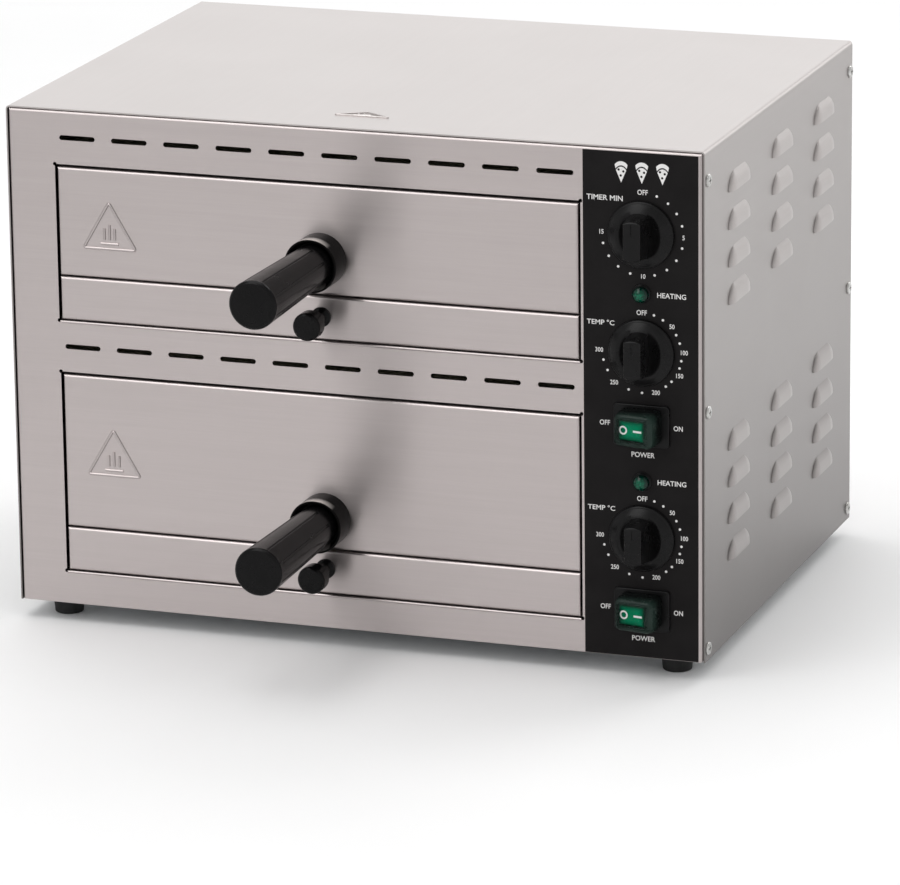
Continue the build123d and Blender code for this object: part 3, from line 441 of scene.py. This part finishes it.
def moulded(name, colour, rough, texture=0.25, specular=0.5, fade=0.3):
    """Moulded plastic or rubber with a fine grain and slightly uneven gloss."""
    look = Look(name, colour, rough, specular=specular)
    lighter = tuple(c * (1 + fade) for c in colour)
    darker = tuple(c * (1 - fade) for c in colour)
    look.tint(look.noise(90, detail=4), darker, lighter)
    look.vary_roughness(look.noise(45), rough - 0.05, rough + 0.06)
    look.bump(look.noise(2200, detail=2), 0.00004, texture)
    return look.material


def bakelite_painted_highlight():
    """Black bakelite with a painted highlight along the top of its front rim."""
    look = Look("bakelite_painted_highlight", (0.004, 0.0036, 0.0036), 0.2, specular=0.03)
    normal = look.add("ShaderNodeTexCoord").outputs["Normal"]
    parts = look.add("ShaderNodeSeparateXYZ")
    look.link(normal, parts.inputs[0])
    # Painted highlight: a light, metallic colour on upward-facing faces near the collar's front rim.
    top = look.span(parts.outputs["Z"], 0, 0.7, 0.72, 0.92)
    front = look.span(look.axis("Y"), 1, 0, FRONT_Y - COLLAR_RIM, FRONT_Y - COLLAR_BACK)
    painted_highlight = look.math("MULTIPLY", top, front)
    uneven = look.span(look.noise(90), 0, 1)
    grain = look.mix(uneven, (0.003, 0.0027, 0.0027), (0.005, 0.0045, 0.0045))
    look.link(look.mix(painted_highlight, grain, (0.85, 0.8, 0.76)), look.shader.inputs["Base Color"])
    look.link(painted_highlight, look.shader.inputs["Metallic"])
    look.vary_roughness(look.noise(45), 0.16, 0.24)
    return look.material


def zinc():
    look = Look("zinc_fasteners", (0.68, 0.68, 0.66), 0.28, metallic=1.0)
    look.tint(look.noise(160, detail=4), (0.4, 0.39, 0.37), (0.6, 0.6, 0.59))
    look.vary_roughness(look.noise(210), 0.2, 0.38)
    look.bump(look.noise(1500), 0.00002, 0.3)
    return look.material


def mineral_wool():
    look = Look("mineral_wool", (0.5, 0.47, 0.34), 0.95, specular=0.1)
    look.tint(look.noise((90, 420, 90), detail=6, roughness=0.7, distortion=1.2), (0.34, 0.31, 0.2),
              (0.66, 0.63, 0.5))
    look.bump(look.noise((220, 700, 220), detail=6, roughness=0.7, distortion=1.5), 0.0012, 0.9)
    return look.material


def copper():
    look = Look("copper_capillary", (0.7, 0.38, 0.24), 0.28, metallic=1.0)
    look.tint(look.noise(140, detail=4), (0.48, 0.22, 0.13), (0.78, 0.46, 0.3))
    look.vary_roughness(look.noise(160), 0.2, 0.42)
    look.bump(look.noise(1200), 0.00002, 0.3)
    return look.material


def element_sheath():
    look = Look("element_sheath", (0.14, 0.125, 0.115), 0.48, metallic=0.85)
    look.tint(look.noise(35, detail=5, distortion=0.5), (0.085, 0.078, 0.075), (0.23, 0.2, 0.17))
    look.vary_roughness(look.noise(120), 0.38, 0.6)
    look.bump(look.noise(1300, detail=3), 0.00004, 0.4)
    return look.material


def ceramic():
    look = Look("ceramic_bush", (0.72, 0.68, 0.6), 0.45)
    look.tint(look.noise(300, detail=4), (0.62, 0.57, 0.48), (0.78, 0.75, 0.68))
    look.bump(look.noise(1500), 0.00005, 0.4)
    return look.material


def chromed_wire():
    look = Look("chromed_wire", (0.7, 0.7, 0.71), 0.14, metallic=1.0)
    look.tint(look.noise(60, detail=4), (0.58, 0.57, 0.56), (0.76, 0.76, 0.77))
    look.vary_roughness(look.noise(90), 0.1, 0.24)
    look.bump(look.noise(700), 0.00002, 0.3)
    return look.material


def clear_boot(deck):
    """A soft cap that is clear in the middle of its crown, where it lies on the rocker's face."""
    look = Look(deck + "_green_boot", (0.008, 0.014, 0.012), 0.3, specular=0.12)
    look.vary_roughness(look.noise(160), 0.18, 0.3)
    look.bump(look.noise(700), 0.00003, 0.3)
    x, z = switch_middle(deck)
    middle = spot(x - ROCKER_SHIFT, 0, z)
    reach = []
    for axis, place, half in zip(("X", "Z"), (middle.x, middle.z), WINDOW_HALF):
        offset = look.math("SUBTRACT", look.axis(axis), place)
        reach.append(look.math("DIVIDE", look.math("ABSOLUTE", offset), half * MM))
    edge = look.math("MAXIMUM", *reach)
    shown = look.span(edge, 0.08, 0.9, 0.75, 1.2)
    depth = look.span(look.axis("Y"), 0.0, 0.95, FRONT_Y - BOOT_CLEAR, FRONT_Y - BOOT_SOLID)
    look.link(look.math("MAXIMUM", shown, depth), look.shader.inputs["Alpha"])
    grain = look.span(look.noise(120), 0, 1)
    rim = look.mix(grain, (0.012, 0.024, 0.019), (0.02, 0.035, 0.029))
    wall = look.mix(grain, (0.0035, 0.0045, 0.0042), (0.006, 0.008, 0.0075))
    back = look.span(look.axis("Y"), 0, 1, FRONT_Y - BOOT_FRONT, FRONT_Y - BOOT_MID)
    base = look.mix(back, rim, wall)
    look.link(base, look.shader.inputs["Base Color"])
    return look.material


def green_rocker():
    """Green plastic with painted light in the middle of each rocker's face and painted shade towards its
    edges.
    """
    look = Look("green_rocker", (0.0, 0.2, 0.1), 0.22, specular=0.04)
    grain = look.span(look.noise(150), 0, 1)
    # Painted light in the middle of each face, painted shade towards its edges.
    painted_light = look.mix(grain, (0.0, 0.2, 0.085), (0.0, 0.26, 0.12))
    painted_shade = look.mix(grain, (0.0, 0.045, 0.025), (0.0, 0.06, 0.032))
    middles = [spot(x - ROCKER_SHIFT, 0, z) for x, z in map(switch_middle, DECKS)]
    across = look.math("ABSOLUTE", look.math("SUBTRACT", look.axis("X"), middles[0].x))
    up = [look.math("ABSOLUTE", look.math("SUBTRACT", look.axis("Z"), middle.z)) for middle in middles]
    half_w, half_h = ROCKER_HALF
    edge = look.math("MAXIMUM", look.math("DIVIDE", across, half_w * MM),
                     look.math("DIVIDE", look.math("MINIMUM", *up), half_h * MM))
    look.link(look.mix(look.span(edge, 0, 1, 0.45, 1.05), painted_light, painted_shade), look.shader.inputs["Base Color"])
    look.vary_roughness(look.noise(200), 0.16, 0.3)
    look.bump(look.noise(1500), 0.00003, 0.25)
    return look.material


def green_lens():
    """A coloured lens over a cut inner face, with painted light in its middle and painted shade at its
    rim.
    """
    look = Look("green_lens", (0.0, 0.2, 0.11), 0.1, specular=0.1)
    look.set("Coat Weight", 0.3)
    look.set("Coat Roughness", 0.05)
    facets = look.cells(650).outputs["Distance"]
    body = look.mix(look.span(facets, 0, 1, 0.1, 0.75), (0.0, 0.17, 0.085), (0.0, 0.05, 0.028))
    low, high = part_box("lamp_lenses")
    across = look.math("SUBTRACT", look.axis("X"), (low.x + high.x) / 2)
    up = [look.math("SUBTRACT", look.axis("Z"), z) for z in (low.z + LENS_R, high.z - LENS_R)]
    near = look.math("MINIMUM", *(look.math("MULTIPLY", u, u) for u in up))
    away = look.math("SQRT", look.math("ADD", look.math("MULTIPLY", across, across), near))
    # Painted shade towards each lens's rim, painted light in its middle.
    colour = look.mix(look.span(away, 0, 1, 0.2 * LENS_R, 0.95 * LENS_R), body, (0.0, 0.012, 0.008))
    look.link(colour, look.shader.inputs["Base Color"])
    look.vary_roughness(look.noise(400), 0.06, 0.14)
    look.bump(facets, 0.00015, 0.25)
    return look.material


def white_ink(name, light, dark):
    look = Look(name, light, 0.5)
    look.tint(look.noise(900, detail=3), dark, light)
    look.bump(look.noise(2500), 0.00002, 0.3)
    return look.material


LOOKS = {
    "stainless_steel": stainless_front(),
    "galvanised_steel": galvanised(),
    "aluminised_steel": aluminised(),
    "black_film": black_film(),
    "black_rubber": moulded("black_rubber", (0.014, 0.014, 0.014), 0.7, texture=0.5, specular=0.3),
    "zinc_fasteners": zinc(),
    "mineral_wool": mineral_wool(),
    "copper_capillary": copper(),
    "ivory_plastic": moulded("ivory_plastic", (0.66, 0.62, 0.5), 0.42, fade=0.08),
    "gland_plastic": moulded("gland_plastic", (0.02, 0.02, 0.02), 0.5),
    "control_plastic": moulded("control_plastic", (0.075, 0.05, 0.034), 0.45),
    "switch_plastic": moulded("switch_plastic", (0.0045, 0.0045, 0.0047), 0.3, specular=0.15),
    "green_boot": moulded("green_boot", (0.02, 0.045, 0.036), 0.25),
    "green_rocker": green_rocker(),
    "green_lens": green_lens(),
    "black_bakelite": moulded("black_bakelite", (0.0035, 0.0033, 0.0035), 0.22, texture=0.08,
                              specular=0.12),
    "knob_plastic": moulded("knob_plastic", (0.005, 0.0048, 0.005), 0.28, texture=0.15, specular=0.15),
    "element_sheath": element_sheath(),
    "chromed_wire": chromed_wire(),
}
COVER_STEEL = stainless_cover()
BAKELITE_PAINTED_HIGHLIGHT = bakelite_painted_highlight()
CERAMIC = ceramic()
INK = white_ink("white_ink", (0.84, 0.83, 0.82), (0.7, 0.69, 0.68))
BRIGHT_INK = white_ink("bright_ink", (0.98, 0.98, 0.97), (0.93, 0.93, 0.92))


def dress_nodes():
    for name, node in NODES.items():
        node.data.materials.clear()
        node.data.materials.append(LOOKS[SLOT_OF[name]])
    NODES["outer_cover"].data.materials[0] = COVER_STEEL
    for deck in DECKS:
        NODES[deck + "_handle_collar"].data.materials[0] = BAKELITE_PAINTED_HIGHLIGHT
    dress_bushes()


def dress_bushes():
    """Gives an element's faces the ceramic look where they belong to a bush."""
    for deck in DECKS:
        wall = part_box(deck + "_chamber")[1].y
        for level in ("top", "bottom"):
            mesh = NODES[f"{deck}_{level}_element"].data
            low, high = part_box(f"{deck}_{level}_element")
            middle = (low + high) / 2
            mesh.materials.append(CERAMIC)
            for face in mesh.polygons:
                x, y, z = face.center
                near_wall = wall - BUSH_BEFORE < y < wall + BUSH_BEHIND
                near_leg = min(abs(x - low.x), abs(x - high.x)) < BUSH_REACH
                leg_x = low.x + LEG_INSET if x < middle.x else high.x - LEG_INSET
                if near_wall and near_leg and math.hypot(x - leg_x, z - middle.z) > ROD_R:
                    face.material_index = 1


# ---------------------------------------------------------------- pieces
FACING = Matrix.Rotation(math.pi / 2, 4, "X")       # a shape drawn in XY stands up facing the front


def piece(name, meshes, material, body, smooth=False):
    """Joins meshes that are already in place into one piece, which rides on a body if one is given."""
    joined = bmesh.new()
    for mesh in meshes:
        joined.from_mesh(mesh)
        bpy.data.meshes.remove(mesh)
    mesh = bpy.data.meshes.new(name)
    joined.to_mesh(mesh)
    joined.free()
    mesh.materials.append(material)
    for face in mesh.polygons:
        face.material_index = 0
        if smooth:
            face.use_smooth = True
    made = bpy.data.objects.new(name, mesh)
    bpy.context.collection.objects.link(made)
    if body:
        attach(made, body)
    return made


def settled(data):
    """The mesh of a curve or text, with the curve thrown away."""
    holder = bpy.data.objects.new("holder", data)
    bpy.context.collection.objects.link(holder)
    bpy.context.view_layer.update()
    graph = bpy.context.evaluated_depsgraph_get()
    mesh = bpy.data.meshes.new_from_object(holder.evaluated_get(graph))
    bpy.data.objects.remove(holder)
    return mesh


def lettering(text, x, z, width=None, height=WORD_HEIGHT):
    """Printed letters centred on (x, z), as a thin raised mesh."""
    data = bpy.data.curves.new("lettering", "FONT")
    data.body = text
    data.size = 10.0
    data.offset = 0.12          # a little bolder than the plain font
    data.extrude = 0.5          # one thick, so that the ink's thickness scales it
    data.resolution_u = 3
    mesh = settled(data)
    xs = [v.co.x for v in mesh.vertices]
    ys = [v.co.y for v in mesh.vertices]
    tall = height * MM / (max(ys) - min(ys))
    wide = width * MM / (max(xs) - min(xs)) if width else tall * CONDENSE
    middle = Vector(((max(xs) + min(xs)) / 2, (max(ys) + min(ys)) / 2, -0.5))
    size = Matrix.Diagonal((wide, tall, INK_T, 1))
    place = Matrix.Translation(spot(x, OVERLAY_OUT, z))
    mesh.transform(place @ FACING @ size @ Matrix.Translation(-middle))
    return mesh


def flat_shape(loops, x, z, thick=INK_T, out=OVERLAY_OUT):
    """A thin plate from closed outlines in mm about (x, z). Outlines inside others are holes."""
    data = bpy.data.curves.new("shape", "CURVE")
    data.dimensions = "2D"
    data.fill_mode = "BOTH"
    data.extrude = 0.5
    for loop in loops:
        spline = data.splines.new("POLY")
        spline.points.add(len(loop) - 1)
        for point, (px, pz) in zip(spline.points, loop):
            point.co = (px, pz, 0, 1)
        spline.use_cyclic_u = True
    mesh = settled(data)
    size = Matrix.Diagonal((MM, MM, thick, 1))
    raised = Matrix.Translation((0, 0, 0.5))
    mesh.transform(Matrix.Translation(spot(x, out, z)) @ FACING @ size @ raised)
    return mesh


def ring_points(radius, count=24, x=0.0, z=0.0):
    turn = 2 * math.pi / count
    return [(x + radius * math.cos(i * turn), z + radius * math.sin(i * turn)) for i in range(count)]


def clockwise(radius, degrees):
    """(x, z) of a mark on a dial, from its top."""
    angle = math.radians(degrees)
    return radius * math.sin(angle), radius * math.cos(angle)


def dial_centre(dial):
    place = centre(dial + "_knob")
    return place.x / MM, (place.z - CASING_Z) / MM


def words(table, x, z):
    """Words of a control whose middle is (x, z)."""
    return [lettering(text, x + across, z + up, width) for text, across, up, width in table]


def dial_marks(x, z, labels, dots, dots_r):
    """Numbers, as (text, degrees clockwise from the top, radius), and a ring of dots."""
    marks = []
    for label, angle, radius in labels:
        dx, dz = clockwise(radius, angle)
        marks.append(lettering(label, x + dx, z + dz, height=DIGIT_HEIGHT))
    for angle in dots:
        dx, dz = clockwise(dots_r, angle)
        marks.append(flat_shape([ring_points(DOT_R)], x + dx, z + dz))
    return marks


def timer_print():
    x, z = dial_centre("timer")
    labels = [(text, angle, TIMER_R) for text, angle in TIMER_MARKS]
    dots = [first + i * step for first, step in TIMER_DOTS for i in range(DOTS_IN_GROUP)]
    return dial_marks(x + TIMER_SHIFT, z, labels, dots, TIMER_R) + words(TIMER_WORDS, x, z)


def thermostat_print(dial):
    x, z = dial_centre(dial)
    marks = dial_marks(x, z, THERMOSTAT_MARKS, THERMOSTAT_DOTS, THERMOSTAT_DOTS_R)
    return marks + words(THERMOSTAT_WORDS, x, z)


def slice_icon(x, z):
    """A plain wedge of pizza: a curved crust over a point, with three round toppings."""
    half, top, tip, crust, gap, topping_r = 7.4, 7.0, -9.6, 3.2, 1.1, 0.95
    bow = half * 1.3
    arc = [(half * math.sin(a), top - bow + bow * math.cos(a))
           for a in (math.radians(d) for d in range(-44, 45, 8))]
    rim = arc + [(px * 0.86, pz - crust) for px, pz in reversed(arc)]
    wedge = [(px * 0.8, pz - crust - gap) for px, pz in arc] + [(0, tip)]
    toppings = [ring_points(topping_r, x=hx, z=hz) for hx, hz in ((-2.0, 0.4), (1.8, -0.9), (-0.3, -4.2))]
    return [flat_shape([rim], x, z), flat_shape([wedge] + toppings, x, z)]


def control_print():
    marks = timer_print()
    for deck in DECKS:
        marks += thermostat_print(deck + "_thermostat")
        marks += words(SWITCH_WORDS, *switch_middle(deck))
        marks += words(LAMP_WORDS, CONTROLS_X, LAMP_WORD_Z[deck])
    for i in (-1, 0, 1):
        marks += slice_icon(CONTROLS_X + ICON_SHIFT + i * ICON_STEP, ICON_Z)
    piece("control_print", marks, INK, "casing")


def rocker_marks():
    """The white ring and bar on each rocker, raised from its tilted face."""
    for deck in DECKS:
        x, z = switch_middle(deck)
        pivot = spot(x, ROCKER_PIVOT_OUT, z)
        turn = Matrix.Rotation(-ROCKER_LEAN, 4, "Z")
        lean = Matrix.Translation(pivot) @ turn @ Matrix.Translation(-pivot)
        face_out = ROCKER_PIVOT_OUT + ROCKER_FACE
        w, h = BAR_HALF
        rings = [ring_points(radius) for radius in RING_R]
        bar = [(-w, -h), (w, -h), (w, h), (-w, h)]
        marks = [flat_shape(rings, x + RING_X, z, ROCKER_MARK_T, face_out),
                 flat_shape([bar], x + BAR_X, z, ROCKER_MARK_T, face_out)]
        for mesh in marks:
            mesh.transform(lean)
        piece(deck + "_rocker_marks", marks, BRIGHT_INK, deck + "_power_rocker")


def rounded_outline(width, height, corner):
    """Points around a rounded rectangle, the same count for every size."""
    points = []
    half_w, half_h = width / 2 - corner, height / 2 - corner
    corners = ((1, 1, 0), (-1, 1, 90), (-1, -1, 180), (1, -1, 270))
    for index, (sx, sy, start) in enumerate(corners):
        for i in range(CORNER_POINTS):
            angle = math.radians(start + 90 * i / (CORNER_POINTS - 1))
            points.append(Vector((sx * half_w + corner * math.cos(angle),
                                  sy * half_h + corner * math.sin(angle), 0)))
        nx, ny, turn = corners[(index + 1) % 4]
        ahead = math.radians(turn)
        following = Vector((nx * half_w + corner * math.cos(ahead),
                            ny * half_h + corner * math.sin(ahead), 0))
        last = points[-1]
        points += [last.lerp(following, i / SIDE_STEPS) for i in range(1, SIDE_STEPS)]
    return points


def boot_rings(wall):
    """Rings of one skin of a boot, from its foot over the rounded edge to the middle of its crown.

    Wall is how far the skin lies inside the outer one."""
    place = Matrix.Translation(BOOT_CROWN_PLACE) @ Matrix.Rotation(-BOOT_LEAN, 4, "Y")
    width, height = BOOT_CROWN[0] - 2 * wall, BOOT_CROWN[1] - 2 * wall
    edge = BOOT_EDGE - wall * 0.5

    def crown_ring(inset, lift, share=1.0):
        corner = max(BOOT_CORNER - wall - inset * 0.6, BOOT_CORNER_LEAST)
        outline = rounded_outline(width - 2 * inset, height - 2 * inset, corner)
        return [place @ (p * share + Vector((0, 0, lift - wall))) for p in outline]

    foot = [p + Vector((0, 0, BOOT_FOOT_OUT)) for p in
            rounded_outline(BOOT_FOOT[0] - 2 * wall, BOOT_FOOT[1] - 2 * wall, BOOT_CORNER - wall)]
    shoulder = crown_ring(0, -edge)
    rings = []
    for i in range(WALL_STEPS + 1):
        share = i / WALL_STEPS
        bulge = 1 + BOOT_BULGE * math.sin(math.pi * share)
        rings.append([a.lerp(b, share) * Vector((bulge, bulge, 1)) for a, b in zip(foot, shoulder)])
    for i in range(1, EDGE_STEPS + 1):
        angle = math.radians(90 * i / EDGE_STEPS)
        rings.append(crown_ring(edge * (1 - math.cos(angle)), edge * math.sin(angle) - edge))
    for i in range(1, CROWN_STEPS):
        share = 1 - i / CROWN_STEPS
        rings.append(crown_ring(edge, BOOT_DOME * (1 - share ** 2), share))
    return rings, place @ Vector((0, 0, BOOT_DOME - wall))


def skin_faces(rings_count, count, offset, tip, flip):
    """Faces of a skin whose rings of count points start at offset and close at the point tip."""
    faces = []
    for ring in range(rings_count - 1):
        for i in range(count):
            j = (i + 1) % count
            a, b = offset + ring * count, offset + (ring + 1) * count
            face = (a + i, a + j, b + j, b + i)
            faces.append(face[::-1] if flip else face)
    last = offset + (rings_count - 1) * count
    for i in range(count):
        face = (last + i, last + (i + 1) % count, tip)
        faces.append(face[::-1] if flip else face)
    return faces


def splash_boot(deck):
    """A soft cap with an outer and an inner skin."""
    points, faces = [], []
    for flip, wall in ((False, 0.0), (True, BOOT_WALL)):
        rings, tip = boot_rings(wall)
        offset, count = len(points), len(rings[0])
        points += [p for ring in rings for p in ring] + [tip]
        faces += skin_faces(len(rings), count, offset, offset + len(rings) * count, flip)
    inner = offset              # the two skins are joined from foot to foot
    faces += [(i, inner + i, inner + (i + 1) % count, (i + 1) % count) for i in range(count)]
    mesh = bpy.data.meshes.new("boot")
    mesh.from_pydata([tuple(p) for p in points], [], faces)
    x, z = switch_middle(deck)
    mesh.transform(Matrix.Translation(spot(x, 0, z)) @ FACING @ Matrix.Diagonal((MM, MM, MM, 1)))
    boot = piece(deck + "_splash_boot", [mesh], clear_boot(deck), None, smooth=True)
    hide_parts(deck + "_switch_boot")
    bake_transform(boot)


def ridge(points, radius, closed):
    """A low half-round ridge along points in mm, pressed up from a sheet in the XY plane."""
    data = bpy.data.curves.new("ridge", "CURVE")
    data.dimensions = "3D"
    data.bevel_depth = radius
    data.bevel_resolution = 3
    data.use_fill_caps = True
    spline = data.splines.new("POLY")
    spline.points.add(len(points) - 1)
    for point, (px, py) in zip(spline.points, points):
        point.co = (px, py, 0, 1)
    spline.use_cyclic_u = closed
    return settled(data)


def rounded_triangle(half, height, radius):
    """Outline with rounded corners about the middle of its base, apex up."""
    corners = [Vector((-half, 0)), Vector((half, 0)), Vector((0, height))]
    points = []
    for i, corner in enumerate(corners):
        before, after = corners[i - 1], corners[(i + 1) % 3]
        to_before, to_after = (before - corner).normalized(), (after - corner).normalized()
        for share in (0, 0.25, 0.5, 0.75, 1):
            a, b = corner + to_before * radius, corner + to_after * radius
            points.append((1 - share) ** 2 * a + 2 * share * (1 - share) * corner + share ** 2 * b)
    return [tuple(p) for p in points]


def embossed_mark(name, place, body, material):
    """A plain pressed triangle around three upright ribs and a bar."""
    parts = [ridge(rounded_triangle(MARK_HALF, MARK_HEIGHT, MARK_CORNER), RIDGE_R, True),
             ridge([(-MARK_BAR_HALF, MARK_BAR_UP), (MARK_BAR_HALF, MARK_BAR_UP)], RIDGE_R, False)]
    for i in (-1, 0, 1):
        x = i * RIB_STEP
        parts.append(ridge([(x, RIB_FOOT), (x, RIB_TOP - abs(i) * RIB_DROP)], RIDGE_R, False))
    for mesh in parts:
        mesh.transform(place @ Matrix.Diagonal((MM, MM, RIDGE_RISE * MM, 1)))
    piece(name, parts, material, body, smooth=True)


def embossed_marks():
    """One on each door, and a shallower one behind the front edge of the casing's top."""
    for deck, x, z in DOOR_MARKS:
        place = Matrix.Translation(spot(x, 0, z)) @ FACING
        embossed_mark(deck + "_embossed_mark", place, deck + "_drawer",
                      LOOKS["stainless_steel"])
    middle = Vector((TOP_MARK_X * MM, FRONT_Y + TOP_MARK_BACK * MM, CASING_TOP))
    place = Matrix.Translation(middle) @ Matrix.Diagonal((1, TOP_MARK_DEPTH, 1, 1))
    embossed_mark("top_embossed_mark", place, "casing", COVER_STEEL)


def opening_lips():
    """The rolled edge along the bottom of each deck's opening."""
    for deck in DECKS:
        low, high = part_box(deck + "_tray_front")
        left, right = low.x / MM - LIP_OVER, high.x / MM + LIP_OVER
        place = Matrix.Translation(spot(0, 0, (low.z - CASING_Z) / MM - LIP_DROP))
        lip = ridge([(left, 0), (right, 0)], LIP_R, False)
        lip.transform(place @ FACING @ Matrix.Diagonal((MM, MM, LIP_RISE * MM, 1)))
        piece(deck + "_opening_lip", [lip], LOOKS["stainless_steel"], "casing",
              smooth=True)


make_camera()
make_studio()
make_floor()
dress_nodes()
control_print()
rocker_marks()
for deck_name in DECKS:
    splash_boot(deck_name)
embossed_marks()
opening_lips()
